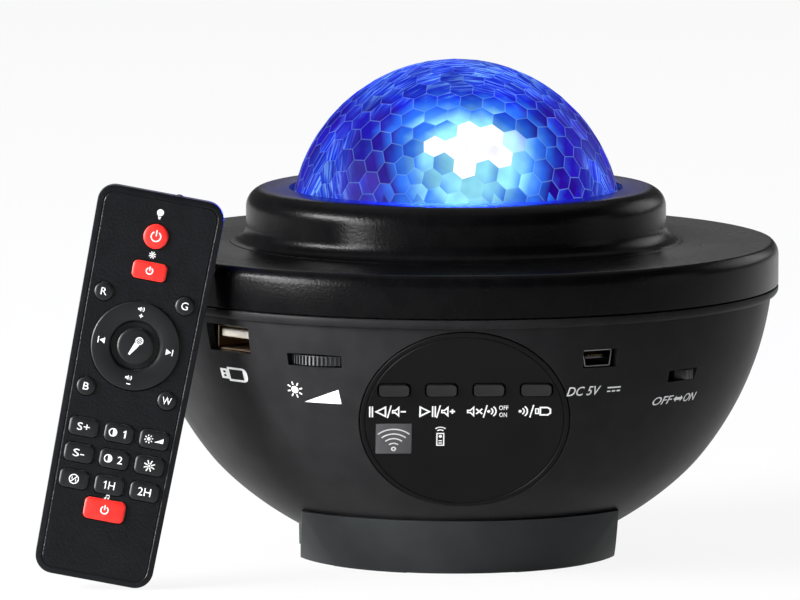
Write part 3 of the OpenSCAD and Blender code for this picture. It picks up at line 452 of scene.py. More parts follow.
SHADES = {
    # screen-printed white: matt, with a slightly uneven lay
    "ink": moulded("white_ink", "#e0e0e0", 0.55, 1.5, (0.6, "#d8d8d8", "#e8e8e8")),
    # the same ink laid thinner on the grey window
    "grey_ink": moulded("grey_ink", "#c4c4c4", 0.55, 1.5, (0.6, "#b8b8b8", "#cecece")),
    # a fine-blasted mould: a soft satin that shows broad, dim highlights
    "bowl": moulded("bowl_satin_abs", "#1f1f20", 0.4, 1.53, (6, "#1d1d1e", "#212122"), (25, 0.34, 0.44),
                    (0.3, 0.012, 2.0), Specular_IOR_Level=0.03),
    # a spark-eroded mould: a visible grain that breaks up the highlights. The real grain is about
    # 0.1 mm wide; it is drawn coarser so that it shows
    "cover": moulded("cover_textured_abs", "#050506", 0.27, 1.53, (5, "#040405", "#070708"), (30, 0.25, 0.29),
                     (0.65, 0.06, 2.0), Specular_IOR_Level=0.06),
    # a shade lighter and duller than the bowl
    "foot": moulded("foot_abs", "#2c2e2f", 0.46, 1.53, (8, "#2a2c2d", "#2e3031"), None,
                    (0.35, 0.02, 2.0), Specular_IOR_Level=0.04),
    "dome": dome_acrylic(),
    # printed polycarbonate film: flat, even and darker than the bowl
    "panel": moulded("panel_film", "#0f0f0f", 0.45, 1.58, (12, "#0e0e0e", "#101010"), None,
                     (0.25, 0.006, 2.0), Specular_IOR_Level=0.05),
    # rubbed a little smoother in places
    "panel_key": moulded("panel_key_abs", "#161617", 0.34, 1.53, None, (4, 0.34, 0.46),
                         (0.25, 0.008, 2.0), Specular_IOR_Level=0.25),
    # smooth and grey
    "window": moulded("smoked_acrylic", "#434345", 0.3, 1.49, (7, "#3f3f41", "#49494b"),
                      Specular_IOR_Level=0.25),
    # a fine leathery grain that sparkles faintly
    "remote": moulded("remote_abs", "#0d0e11", 0.33, 1.53, (4, "#0b0c0f", "#0f1013"), None,
                      (0.65, 0.09, 2.0), Specular_IOR_Level=0.17),
    "black_key": silicone("black_silicone", "#0b0c0e", "#101113", 0.4),
    "red_key": silicone("red_silicone", "#d01f1a", "#dc2a22", 0.45),
    # matt, with grey scuffs
    "rubber": moulded("pad_rubber", "#151515", 0.8, 1.52, (1.5, "#111111", "#242424"), None, (0.4, 0.03, 2.0)),
    # pressed paper of the speaker's cone: matt and fibrous
    "paper": moulded("cone_paper", "#1d1d1e", 0.85, 1.45, grain=(0.5, 0.06, 6.0)),
    "zinc": metal("zinc_plated_steel", "#b9bcc2", 0.35),
    "dark_nickel": metal("tarnished_nickel", "#94826c", 0.36),
    "nickel": metal("nickel_plated_steel", "#8a8885", 0.3),
    "steel": metal("motor_steel", "#9a9ea4", 0.38),
    "black_steel": metal("black_lacquered_steel", "#3a3b3d", 0.5),
    "brass": metal("turned_brass", "#c9a24d", 0.3),
    "aluminium": metal("extruded_aluminium", "#c6c9cc", 0.42),
    "coin": metal("coin_cell_steel", "#d2d4d6", 0.22),
    "wheel": plain_plastic("wheel_abs", "#232426", "#2c2d2f", 0.4),
    "ferrite": plain_plastic("ferrite", "#3a3a3c", "#444447", 0.7, 2.0),
    "ivory": plain_plastic("ivory_nylon", "#f2ebda", "#f8f2e4", 0.3),
    "white_abs": plain_plastic("white_abs", "#d9dadb", "#e4e4e4", 0.45),
    "black_abs": plain_plastic("black_abs", "#1c1c1e", "#242426", 0.5),
    "epoxy": plain_plastic("black_epoxy", "#0c0c0e", "#141416", 0.15, 1.55),
    "violet_epoxy": plain_plastic("violet_epoxy", "#2c2838", "#383448", 0.12, 1.55),
    "board": circuit_board(),
    "lens": clear_acrylic("lens_acrylic", "#eef4ff", 0.03),
    "disc": clear_acrylic("disc_acrylic", "#dde8fa", 0.08),
}

# The finish of each node that stays as the CAD has it
KEPT = {
    "foot_pads": "rubber", "short_screws": "zinc", "cover_screws": "zinc",
    "thumbwheel_pot": "black_abs", "power_switch_body": "black_steel",
    "main_board": "board", "panel_board": "board", "tact_switches": "steel", "ir_receiver": "epoxy",
    "speaker_frame": "black_steel", "speaker_magnet": "ferrite", "speaker_cone": "paper",
    "lamp_deck": "white_abs", "led_board": "white_abs", "heat_sink": "aluminium", "lamp_lens": "lens",
    "ripple_disc": "disc", "disc_motor": "steel", "laser_module": "brass", "grating_disc": "disc",
    "grating_motor": "steel", "remote_keypad": "black_abs", "remote_board": "board",
    "remote_battery": "coin", "remote_ir_led": "violet_epoxy",
}
for node_name, shade in KEPT.items():
    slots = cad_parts[node_name].data.materials
    slots.clear()
    slots.append(SHADES[shade])

# ---- Housing ----


def port_cutter(name, azimuth, z, w, h, corner, depth, flare=0.15):
    """A cutter for a port's opening, a little wider at its mouth so that the edge is broken."""
    mouth, sunk = 3.0, 0.4
    cutter = bar(name, w, h, corner, 0, depth)
    edit_top(cutter)
    pull(mouth)
    growth = 2 * flare * mouth / sunk
    bpy.ops.transform.resize(value=(1 + growth / w, 1 + growth / h, 1), center_override=(0, 0, 0))
    done(cutter)
    surface = ball_r(z) - sunk
    cutter.data.transform(facing_out(azimuth, 0, -surface + depth, z))
    return cutter


def bowl_r_at(z):
    """Radius of the bowl's outside, which tucks in a little towards the foot."""
    return ball_r(z) - TUCK * (max(0, TUCK_Z - z) / (TUCK_Z - FLOOR_Z)) ** 1.5


def model_bowl():
    """The bowl: a ball's wall with a flat floor and the lip band, opened for the panel and the ports."""
    lip_low, floor_edge = SEAM_Z - LIP_H, 0.3
    inside = BOWL_R - WALL
    inner_low = math.degrees(math.asin((FLOOR_Z + WALL - BOWL_CZ) / inside))
    inner_high = math.degrees(math.asin((SEAM_Z - BOWL_CZ) / inside))
    steps = 60
    # the steps are finer towards the foot, where the wall turns most
    heights = [FLOOR_Z + floor_edge + (lip_low - FLOOR_Z - floor_edge) * (i / steps) ** 1.4
               for i in range(steps + 1)]
    bowl = lathe("bowl", [
        (FLOOR_HOLE_R, FLOOR_Z), (bowl_r_at(FLOOR_Z) - 0.5, FLOOR_Z),
        *[(bowl_r_at(z), z) for z in heights],
        *arc((RIM_R - LIP_ROUND, lip_low + LIP_ROUND), LIP_ROUND, -70, 0, 8),
        (RIM_R, SEAM_Z - 0.35), (RIM_R - 0.1, SEAM_Z - 0.1), (RIM_R - 0.35, SEAM_Z),
        *arc((0, BOWL_CZ), inside, inner_high, inner_low, 30),
        (38.0, FLOOR_Z + WALL), (FLOOR_HOLE_R, FLOOR_Z + WALL),
    ])
    seat_r, flared_r = PANEL_R + 0.15, PANEL_R + 3.2
    seat = lathe("panel_hole", [
        (0, PANEL_D - 9), (seat_r, PANEL_D - 9), (seat_r, PANEL_D - 0.4),
        (flared_r, PANEL_D + 2.2), (flared_r, BOWL_R + 2), (0, BOWL_R + 2)], 128)
    seat.data.transform(PANEL)
    cut(bowl, [
        seat,
        port_cutter("usb_hole", USB_AZ, USB_Z, USB_W, USB_H, 0.5, 8),
        port_cutter("wheel_hole", WHEEL_AZ, WHEEL_Z, 15.0, WHEEL_T + 0.7, 0.3, 9, 0.1),
        port_cutter("inlet_hole", INLET_AZ, INLET_Z, INLET_W, INLET_H, 0.4, 8),
        port_cutter("switch_hole", SWITCH_AZ, SWITCH_Z, SWITCH_W, SWITCH_H, 0.25, 10),
    ])
    settle(bowl, HOUSING, "housing", SHADES["bowl"], ["bowl_shell"])


def model_cover():
    """The cover in one moulding: from the seam up the rim, over the flat plate, flare and collar, and
    back along the inside to the tongue that stands in the bowl."""
    low = SEAM_Z + SEAM_GAP
    shoulder_end = math.degrees(math.asin((PLATE_Z - 0.12 - SHOULDER_Z) / RIM_ROUND))
    flare_x = COLLAR_R + FLARE_ROUND
    neck = PLATE_Z + 0.3 + FLARE_ROUND
    shoulder = (RIM_R - RIM_ROUND, SHOULDER_Z)
    collar = (COLLAR_R - COLLAR_ROUND, COLLAR_Z - COLLAR_ROUND)
    tongue_low = SEAM_Z - 2.5
    cover = lathe("cover", [
        (RIM_R - 0.35, low), (RIM_R - 0.1, low + 0.1), (RIM_R, low + 0.35),
        *arc(shoulder, RIM_ROUND, 0, shoulder_end, 14),
        (80.6, PLATE_Z), (80.0, PLATE_Z), (70, PLATE_Z), (flare_x + 0.6, PLATE_Z),
        (flare_x + 0.25, PLATE_Z + 0.08), (flare_x + 0.15, PLATE_Z + 0.25),
        *arc((flare_x, neck), FLARE_ROUND, 270, 180, 14),
        *arc(collar, COLLAR_ROUND, 0, 90, 16),
        (DOME_R + 0.7, COLLAR_Z), (DOME_R + 0.35, COLLAR_Z - 0.12), (DOME_R + 0.12, COLLAR_Z - 0.4),
        (DOME_R + 0.12, COLLAR_Z - WALL),
        *arc(collar, COLLAR_ROUND - WALL, 90, 0, 6),
        *arc((flare_x, neck), FLARE_ROUND + WALL, 180, 270, 8),
        *arc(shoulder, RIM_ROUND - WALL, 60, 0, 5),
        (RIM_R - WALL, low + 1.7), (TONGUE_R - TONGUE_WALL, low + 1.7), (TONGUE_R - TONGUE_WALL, tongue_low),
        (TONGUE_R, tongue_low), (TONGUE_R, low),
    ])
    settle(cover, HOUSING, "housing", SHADES["cover"], ["top_cover"])


def model_foot():
    """The foot: two flared legs with upright ends, and the grille plate between them."""
    leg_in, leg_inner_top = LEG_R - LEG_WALL, FLOOR_Z + 0.1
    leg = lathe("foot", [(leg_in, LEG_LOW), (LEG_R, LEG_LOW), (LEG_TOP_R, LEG_TOP_Z),
                         (LEG_TOP_R - 2.4, LEG_TOP_Z), (41.0, leg_inner_top), (leg_in, leg_inner_top)])
    edit(leg)
    for side in (-1, 1):
        select_all()
        bpy.ops.mesh.bisect(plane_co=(side * LEG_HALF_W, 0, 0), plane_no=(side, 0, 0), use_fill=True,
                            clear_outer=True)
    done(leg)
    cut(leg, [block("side_gap", (2 * RIM_R, SIDE_GAP_W, 40), (0, 0, 10))])
    soften_all(leg, 0.45, 3, 35)
    plate_r, low, high = LEG_R - LEG_WALL + 0.5, FLOOR_Z - 2.1, FLOOR_Z - 0.02
    plate = lathe("grille_plate", [(0, low), (plate_r, low), (plate_r, high), (0, high)], 128)
    # each ring of holes is as many millimetres in radius as it has holes
    places = [(0, 0)]
    for ring in GRILLE_RINGS:
        angles = [2 * math.pi * i / ring for i in range(ring)]
        places += [(ring * math.cos(a), ring * math.sin(a)) for a in angles]
    cut(plate, [join([rod("grille_hole", GRILLE_R, 8, (x, y, FLOOR_Z), 20) for x, y in places])])
    settle(join([leg, plate]), HOUSING, "housing", SHADES["foot"], ["base_cover"])


def model_dome():
    """The dome: a ball of hexagons, cut at the collar, each facet set inside a thin edge whose painted light is
    brighter.
    """
    rows = 9
    bpy.ops.mesh.primitive_ico_sphere_add(subdivisions=1, radius=DOME_R, rotation=(0.35, 0.2, 0.5))
    dome = only(bpy.context.object)
    bpy.ops.object.transform_apply(location=True, rotation=True, scale=True)
    start("dome_lens")
    bpy.ops.mesh.subdivide(number_cuts=rows - 1)
    for vertex in bmesh.from_edit_mesh(dome.data).verts:
        vertex.co = vertex.co.normalized() * DOME_R
    done(dome)
    hexagons = bpy.data.node_groups.new("hexagons", "GeometryNodeTree")
    for side in ("INPUT", "OUTPUT"):
        hexagons.interface.new_socket("Geometry", in_out=side, socket_type="NodeSocketGeometry")
    source = add(hexagons, "NodeGroupInput")
    dual = add(hexagons, "GeometryNodeDualMesh", None, {"Mesh": source.outputs[0]})
    add(hexagons, "NodeGroupOutput", None, {0: dual.outputs[0]})
    dome.modifiers.new("hexagons", "NODES").node_group = hexagons
    apply_modifiers(dome)
    bpy.data.node_groups.remove(hexagons)
    edit(dome)
    for vertex in bmesh.from_edit_mesh(dome.data).verts:
        vertex.co = vertex.co.normalized() * (DOME_R - 0.02)
    bmesh.update_edit_mesh(dome.data)
    select_all()
    bpy.ops.mesh.bisect(plane_co=(0, 0, COLLAR_Z - 0.8 - DOME_CZ), plane_no=(0, 0, 1), clear_inner=True)
    bpy.ops.object.mode_set(mode="OBJECT")
    centres = [face.center.normalized() for face in dome.data.polygons]
    bpy.ops.object.mode_set(mode="EDIT")
    select_all()
    step_in((0.13, -0.06), use_individual=True, use_boundary=True)
    bpy.ops.mesh.poke(offset=-0.03)
    bpy.ops.object.mode_set(mode="OBJECT")
    light_facets(dome.data, centres)
    edit(dome)
    # skirt that stands inside the collar
    bpy.ops.mesh.select_mode(type="EDGE")
    bpy.ops.mesh.select_all(action="DESELECT")
    bpy.ops.mesh.select_non_manifold(extend=False)
    bpy.ops.mesh.extrude_edges_move(TRANSFORM_OT_translate={"value": (0, 0, -2.6)})
    select_all()
    bpy.ops.mesh.remove_doubles(threshold=MERGE_WITHIN)
    bpy.ops.object.mode_set(mode="OBJECT")
    wall = dome.modifiers.new("wall", "SOLIDIFY")
    wall.thickness = DOME_WALL
    wall.offset = -1
    apply_modifiers(dome)
    settle(dome, move(0, 0, DOME_CZ), "housing", SHADES["dome"], ["dome"], smooth=0)
    # the lamp inside shines out over the collar
    dome.visible_shadow = False


# Where the lamp's image is painted into the dome's light: azimuth from the front, height and strength
LAMP_GLOWS = [(3.9, 32.1, 1.0), (123.0, 30.0, 0.8), (-123.0, 30.0, 0.8)]
# The painted light's linear colours, from the middle of a glow outwards; HAZE lies between the streaks, and
# EDGE is the painted highlight on the thin edges between facets
WHITE = (1.4, 1.4, 1.4)
CYAN = (0.30, 0.80, 1.0)
AZURE = (0.028, 0.18, 0.93)
DEEP = (0.004, 0.012, 0.72)
VIOLET = (0.020, 0.002, 0.30)
HAZE = (0.045, 0.13, 0.86)
EDGE = (0.3, 0.6, 1.0)


def clamp(share):
    return min(1, max(0, share))


def toward(a, b, share):
    share = clamp(share)
    return tuple(x + (y - x) * share for x, y in zip(a, b))


def nearest_glow(n):
    """Which lamp image the direction n is nearest to, sideways, with the degrees to its side and above it."""
    azimuth, height = math.degrees(math.atan2(n.x, -n.y)), math.degrees(math.asin(max(-1, min(1, n.z))))
    best = None
    for glow in LAMP_GLOWS:
        side = ((azimuth - glow[0] + 180) % 360 - 180) * math.cos(math.radians(height))
        if best is None or abs(side) < abs(best[0]):
            best = (side, height - glow[1], glow)
    return best


def facet_light(n, centre, luck, spark):
    """Light at the direction n of the facet about centre, and how streaked it is. luck and spark are the
    facet's own draws."""
    side, rise, glow = nearest_glow(n)
    strength, height = glow[2], rise + glow[1]
    jitter = (luck - 0.5) * 6
    far = math.hypot(side * 0.85, rise * (0.6 if rise < 0 else 1.2)) / strength + jitter
    colour = toward(DEEP, AZURE, (30 - far) / 6 * (0.6 + 0.6 * spark))
    colour = toward(colour, CYAN, (19 - far) / 6 * (0.4 + 0.9 * spark))
    own_side, own_rise, _ = nearest_glow(centre)
    own_far = math.hypot(own_side * 0.8, own_rise * 1.15) / strength
    colour = toward(colour, WHITE, (11 - own_far - jitter) / 0.8)
    # painted shade: the light falls off to violet at the sides, away from the lamp's image
    dark = clamp((abs(side) - 20) / 8) * clamp((far - 22) / 6) * clamp((56 - height) / 9)
    colour = toward(colour, VIOLET, dark * (0.55 + 0.75 * luck))
    outward = math.hypot(side * 0.72, rise * 1.25 if rise > 0 else rise * 0.2) + (luck - 0.5) * 8
    streaked = clamp((outward - 31) / 8)
    colour = toward(colour, toward(HAZE, DEEP, luck * 0.7), streaked)
    lift = 1 + 0.5 * (spark - 0.5)
    return tuple(c * lift for c in colour), streaked


def light_facets(mesh, centres):
    """Paints each facet corner by corner, so that its light changes across it and breaks at its edges."""
    draw = random.Random(11)
    lucks = [(draw.random(), draw.random()) for _ in centres]
    layers = {"glow": "FLOAT_COLOR", "facet": "FLOAT_COLOR", "flow": "FLOAT_VECTOR"}
    for name, kind in layers.items():
        mesh.attributes.new(name, kind, "CORNER")
    glow, facet, flow = (mesh.attributes[name].data for name in layers)
    # a facet bends the light, so it shows more of it than its own width
    spread = 1.9
    for face in mesh.polygons:
        middle = face.center.normalized()
        own = max(range(len(centres)), key=lambda i: centres[i].dot(middle))
        centre, (luck, spark) = centres[own], lucks[own]
        lamp = nearest_glow(centre)[2]
        axis = port(lamp[0]) @ turn(-lamp[1], "X") @ Vector((0, -1, 0))
        across = axis.cross(centre).normalized()
        outward = across.cross(centre)
        for corner in face.loop_indices:
            point = mesh.vertices[mesh.loops[corner].vertex_index].co.normalized()
            seen = (centre + (point - centre) * spread).normalized()
            colour, streaked = facet_light(seen, centre, luck, spark)
            # the thin edges between facets get a painted highlight
            if len(face.vertices) == 4:
                colour = toward(colour, EDGE, 0.26 - 0.14 * streaked)
                streaked *= 0.4
            glow[corner].color = (*colour, 1)
            facet[corner].color = (streaked, luck, spark, 1)
            away = (point - centre) * DOME_R
            flow[corner].vector = (away.dot(outward) / 0.8, away.dot(across) / 9, luck * 90)


def model_wheel():
    """The thumbwheel: a disc whose edge is drawn out into ribs."""
    ribs, rib_h = 60, 0.6
    bpy.ops.mesh.primitive_cylinder_add(vertices=ribs * 2, radius=WHEEL_R - 0.62, depth=WHEEL_T)
    wheel = start("wheel")

    def is_rib(middle, normal):
        step = math.degrees(math.atan2(middle.y, middle.x)) % 360 / (180 / ribs)
        return abs(normal.z) < 0.5 and int(step) % 2 == 0

    pick(wheel, "faces", is_rib)
    step_in((0.06, 0), use_individual=True)
    bpy.ops.mesh.extrude_region_shrink_fatten(TRANSFORM_OT_shrink_fatten={"value": rib_h})
    done(wheel)
    surface = ball_r(WHEEL_Z) + WHEEL_PROUD - WHEEL_R
    settle(wheel, port(WHEEL_AZ) @ move(0, -surface, WHEEL_Z), "thumbwheel",
           SHADES["wheel"], ["thumbwheel"])


def socket_shell(name, w, h, corner, wall, depth, pinch=0):
    """A drawn metal shell with its mouth at the origin, open towards +Z; its lower half may be pinched."""
    shell = bar(name, w, h, corner, -depth, 0, segments=4)
    edit_top(shell)
    step_in((wall, 0), (0.1, -0.15))
    pull(1.0 - depth)
    done(shell)
    if pinch:
        for vertex in shell.data.vertices:
            if vertex.co.y < -0.3:
                vertex.co.x -= math.copysign(pinch, vertex.co.x)
    return shell


def add_contacts(name, size, places, frame_of_port):
    """A row of gilt contacts as one piece."""
    contacts = [block("contact", size, at) for at in places]
    for contact in contacts:
        soften_all(contact, 0.05)
    settle(join(contacts), frame_of_port, "housing", SHADES["brass"]).name = name


def model_usb_socket():
    """The memory-stick socket: a drawn metal shell, and the ivory tongue with its four contacts."""
    w, h, depth = USB_W - 0.4, USB_H - 0.4, 12.0
    place = facing_out(USB_AZ, 0, USB_INSET - ball_r(USB_Z), USB_Z)
    shell = socket_shell("usb_shell", w, h, 0.6, 0.35, depth)
    settle(shell, place, "housing", SHADES["dark_nickel"], ["usb_a_socket"])
    tongue = block("usb_tongue", (w - 2.2, 2.1, depth - 1.6), (0.3, h / 2 - 2.0, -depth / 2 + 0.7))
    soften(tongue, 0.4, lambda middle, along: middle.z > 0 or abs(along.z) > 5)
    settle(tongue, place, "housing", SHADES["ivory"])
    places = [(x, h / 2 - 3.1, -4.2) for x in (-3.2, -0.7, 1.3, 3.8)]
    add_contacts("usb_contacts", (1.0, 0.12, 7.5), places, place)


def model_inlet():
    """The supply inlet: a small metal shell with pinched sides, a black tongue and five contacts."""
    w, h, depth = INLET_W - 1.2, INLET_H - 0.4, 8.0
    place = facing_out(INLET_AZ, 0, INLET_INSET - ball_r(INLET_Z), INLET_Z)
    shell = socket_shell("inlet_shell", w, h, 0.5, 0.2, depth, 0.55)
    settle(shell, place, "housing", SHADES["nickel"], ["power_socket"])
    liner = socket_shell("inlet_liner", w - 0.5, h - 0.5, 0.4, 0.05, depth - 0.8, 0.5)
    settle(liner, place @ move(0, 0, -0.25), "housing", SHADES["epoxy"])
    tongue = block("inlet_tongue", (w - 3.0, 0.9, depth - 2), (0, 0.15, -depth / 2 - 0.4))
    soften_all(tongue, 0.12)
    settle(tongue, place, "housing", SHADES["epoxy"])
    places = [((i - 2) * 0.9, 0.66, -3.6) for i in range(5)]
    add_contacts("inlet_contacts", (0.34, 0.12, 5.0), places, place)


def model_switch_knob():
    """The switch's knob: its grip stands at the outer end, with a ramp down towards the slot's middle."""
    front, w, h, depth = ball_r(SWITCH_Z) - 0.1, 4.4, 2.4, 6.1
    ramp_end, rib_pitch = -0.5, 0.55
    place = facing_out(SWITCH_AZ, 2.0, -front, SWITCH_Z)
    knob = block("switch_knob", (w, h, depth), (0, 0, -depth / 2))
    edit(knob)
    pick(knob, "edges", lambda middle, along: middle.z > -0.01 and abs(along.x) > 1)
    bpy.ops.mesh.subdivide(number_cuts=7)
    for vertex in bmesh.from_edit_mesh(knob.data).verts:
        if vertex.co.z > -0.01:
            if vertex.co.x < ramp_end:
                vertex.co.z -= 2.4 * (ramp_end - vertex.co.x) / 1.7
            elif int((vertex.co.x + w / 2) / rib_pitch + 0.5) % 2:
                vertex.co.z -= 0.25
    done(knob)
    soften_all(knob, 0.07)
    settle(knob, place, "power_switch_knob", SHADES["black_abs"], ["power_switch_knob"])


def key_places():
    return [(i - 1.5) * KEY_PITCH for i in range(4)]


def model_panel():
    """The control panel: a thin disc with a broken edge and a shallow ring groove, cut out for its keys
    and the receiver's window."""
    back, face, groove, edge = PANEL_D - PANEL_T, PANEL_D, 0.16, 0.3
    panel = lathe("panel", [
        (0, back), (PANEL_R - 0.25, back), *arc((PANEL_R - edge, face - edge), edge, 0, 90, 5),
        (PANEL_R - 1.0, face), (PANEL_R - 1.15, face - groove), (PANEL_R - 1.4, face - groove),
        (PANEL_R - 1.55, face), (0, face)], 128)
    holes = []
    for x in key_places():
        holes.append(bar("key_hole", KEY_W + 0.9, KEY_H + 0.9, 1.3, back - 1, face + 1))
        holes[-1].data.transform(move(x, KEY_UP, 0))
    holes.append(block("window_hole", (IR_SIZE + 0.15, IR_SIZE + 0.15, 4), (*IR_AT, face)))
    cut(panel, holes)
    settle(panel, PANEL, "housing", SHADES["panel"], ["control_panel"])
    window = block("receiver_window", (IR_SIZE, IR_SIZE, 1.5), (*IR_AT, face - 0.75 + 0.02))
    soften_all(window, 0.15)
    settle(window, PANEL, "housing", SHADES["window"], ["ir_window"])


def model_panel_keys():
    """The four panel keys: bars with a soft edge and a shallow dish for the finger."""
    low, high = PANEL_D - PANEL_T - 1.3, PANEL_D + KEY_PROUD

    def is_rim(middle, along):
        at_side = abs(middle.x) > KEY_W / 2 - 0.35 or abs(middle.y) > KEY_H / 2 - 0.02
        return middle.z > high - 0.01 and at_side

    for body, x in zip(("previous_button", "play_button", "mute_button", "mode_button"), key_places()):
        key = bar(body.replace("button", "key"), KEY_W, KEY_H, 1.0, low, high, segments=6)
        edit_top(key)
        step_in((0.22, 0), (0.3, -0.08))
        done(key)
        soften(key, 0.2, is_rim, 2)
        settle(key, PANEL @ move(x, KEY_UP, 0), body, SHADES["panel_key"], [body])


# ---- Remote control ----

GRID_KEYS = ("speed_up", "fade_1", "brightness", "speed_down", "fade_2", "laser_light", "motor", "1_hour",
             "2_hour")
# Each as its name, place, width and height
REMOTE_BARS = [("remote_laser_key", (0, 29.5), 8.6, 4.5), ("remote_music_key", (0, -31.1), 10.3, 5.4)]
REMOTE_BARS += [(f"remote_{name}_key", ((i % 3 - 1) * GRID_X, GRID_TOP_Y - i // 3 * GRID_Y), 7.2, 4.6)
                for i, name in enumerate(GRID_KEYS)]
# Each as its name, place and radius
REMOTE_ROUNDS = [
    ("remote_lamp_key", (0, 38.2), 3.1), ("remote_mic_key", (0, RING_Y), MIC_R),
    ("remote_red_key", (-10.2, 22.5), 2.3), ("remote_green_key", (10.2, 22.5), 2.3),
    ("remote_blue_key", (-10.2, -1.5), 2.3), ("remote_white_key", (10.2, -1.5), 2.3),
]
RED_KEYS = ("remote_lamp_key", "remote_laser_key", "remote_music_key")
KEY_PLACES = {name: at for name, at, *_ in REMOTE_BARS + REMOTE_ROUNDS} | {"remote_ring_key": (0, RING_Y)}


def on_edge(point, slack=0.2):
    """True where a point lies on the remote's outline and not further in."""
    half = REMOTE_W / 2 - (REMOTE_W - REMOTE_FOOT_W) / 2 * (REMOTE_L / 2 - point.y) / REMOTE_L
    if abs(point.y) > REMOTE_L / 2 - slack or abs(point.x) > half - slack:
        return True
    corner_x = half - REMOTE_ROUND
    corner_y = REMOTE_L / 2 - REMOTE_ROUND
    if abs(point.x) < corner_x or abs(point.y) < corner_y:
        return False
    return math.hypot(abs(point.x) - corner_x, abs(point.y) - corner_y) > REMOTE_ROUND - slack - 0.25


def model_remote_front():
    """The remote's front shell, with a raised border, its key holes and the lamp's hole in its end."""
    low = REMOTE_BACK_T + REMOTE_GROOVE
    front = bar("remote_front", REMOTE_W, REMOTE_L, REMOTE_ROUND, low, REMOTE_T, REMOTE_W - REMOTE_FOOT_W, 12)
    edit_top(front)
    step_in((1.35, 0), (0.16, -0.14), (0.16, 0), (0.16, 0.14))
    done(front)
    soften(front, 0.75, lambda middle, along: middle.z > REMOTE_T - 0.01 and on_edge(middle), 5)
    soften(front, 0.12, lambda middle, along: middle.z < low + 0.01 and on_edge(middle), 2)
    holes = []
    for name, (x, y), w, h in REMOTE_BARS:
        holes.append(bar(name + "_hole", w + 0.5, h + 0.5, 1.5, low - 1, REMOTE_T + 1))
        holes[-1].data.transform(move(x, y, 0))
    # the microphone's key shares the ring's hole
    rounds = [(at, r) for name, at, r in REMOTE_ROUNDS if name != "remote_mic_key"] + [((0, RING_Y), RING_R)]
    holes += [rod("round_hole", r + 0.25, 6, (x, y, REMOTE_T - 1), 64) for (x, y), r in rounds]
    holes.append(rod("lamp_hole", 1.5, 8, (4, REMOTE_L / 2, 5.2), 32, rotation=(math.pi / 2, 0, 0)))
    cut(front, holes)
    settle(front, REMOTE, "remote", SHADES["remote"], ["remote_front_shell"])


def model_remote_back():
    """The remote's plain back shell, and the battery's round door in its well."""
    back = bar("remote_back", REMOTE_W, REMOTE_L, REMOTE_ROUND, 0, REMOTE_BACK_T, REMOTE_W - REMOTE_FOOT_W, 12)
    soften(back, 0.9, lambda middle, along: middle.z < 0.01, 5)
    soften(back, 0.12, lambda middle, along: middle.z > REMOTE_BACK_T - 0.01, 2)
    cut(back, [rod("door_well", 11.7, 2.6, (0, DOOR_Y, 0)), rod("cell_well", 10.4, 8, (0, DOOR_Y, 0))])
    settle(back, REMOTE, "remote", SHADES["remote"], ["remote_back_shell"])
    door = rod("remote_door", DOOR_R, 1.2, (0, DOOR_Y, 0.6))
    cut(door, [block("coin_slot", (12, 1.6, 1.0), (0, DOOR_Y, 0))])
    soften_all(door, 0.12)
    settle(door, REMOTE, "remote_battery_door", SHADES["remote"], ["remote_battery_door"])


def crown(key):
    """Rounds a key's top: an inset that rises a little, over softened edges."""
    edit_top(key)
    step_in((0.28, 0.2), (0.35, 0.07))
    return done(key)


def finish_key(key, body):
    red = body in RED_KEYS
    settle(key, REMOTE @ move(*KEY_PLACES[body], 0), body,
           SHADES["red_key" if red else "black_key"], [body])


def model_remote_keys():
    """The remote's keys, each on its own body."""
    low, shoulder = KEY_FOOT, KEY_TOP - 0.27
    for name, _, w, h in REMOTE_BARS:
        finish_key(crown(bar(name.replace("_key", "_cap"), w, h, 1.3, low, shoulder, segments=6)), name)
    for name, _, r in REMOTE_ROUNDS:
        key = crown(rod(name.replace("_key", "_cap"), r, shoulder - low, (0, 0, (low + shoulder) / 2), 48))
        if name == "remote_mic_key":
            # its foot reaches out under the ring
            flange_r, flange_top = RING_IN_R - 0.2, low + 0.6
            key = join([key, lathe("mic_flange", [(0, flange_top), (flange_r, flange_top), (flange_r, low),
                                                  (0, low)], 64)])
        finish_key(key, name)
    edge = 0.45
    ring = lathe("remote_ring", [
        (RING_IN_R, 5.5), (RING_R, 5.5), (RING_R, KEY_TOP - 0.35),
        *arc((RING_R - edge, KEY_TOP - edge), edge, 15, 90, 4),
        (RING_IN_R + 1.0, KEY_TOP - 0.02), (RING_IN_R + edge, KEY_TOP - 0.18), (RING_IN_R, KEY_TOP - 0.75)], 96)
    finish_key(ring, "remote_ring_key")


# ---- Printed symbols: layers of closed outlines, drawn flat in millimetres, then made a mesh ----


def box_shape(x, y, w, h):
    return [(x - w / 2, y - h / 2), (x + w / 2, y - h / 2), (x + w / 2, y + h / 2), (x - w / 2, y + h / 2)]


def boxes(*sizes):
    """Boxes as (x, y, width, height), each a layer of its own."""
    return [[box_shape(*size)] for size in sizes]


def disc_shape(x, y, r, steps=24):
    return arc((x, y), r, 0, 360 - 360 / steps, steps - 1)


def hoop(x, y, outer, inner):
    """A round line, as one layer."""
    return [disc_shape(x, y, outer), disc_shape(x, y, inner)]


def line_shape(a, b, width):
    a, b = Vector(a), Vector(b)
    side = (b - a).normalized().orthogonal() * width / 2
    return [tuple(a + side), tuple(a - side), tuple(b - side), tuple(b + side)]


def band_shape(x, y, inner, outer, first, last, steps=16):
    return arc((x, y), outer, first, last, steps) + arc((x, y), inner, last, first, steps)


def frame_shape(points, width):
    """A closed line along an outline: the outline and the same drawn in towards its middle."""
    count = len(points)
    inner = []
    for i in range(count):
        before, here, after = (Vector(points[(i + k) % count]) for k in (-1, 0, 1))
        first = Vector((before - here).yx) * Vector((1, -1))
        second = Vector((here - after).yx) * Vector((1, -1))
        first.normalize()
        second.normalize()
        slant = (first + second).normalized()
        inner.append(tuple(here + slant * width / max(0.3, slant.dot(first))))
    return [points, inner]


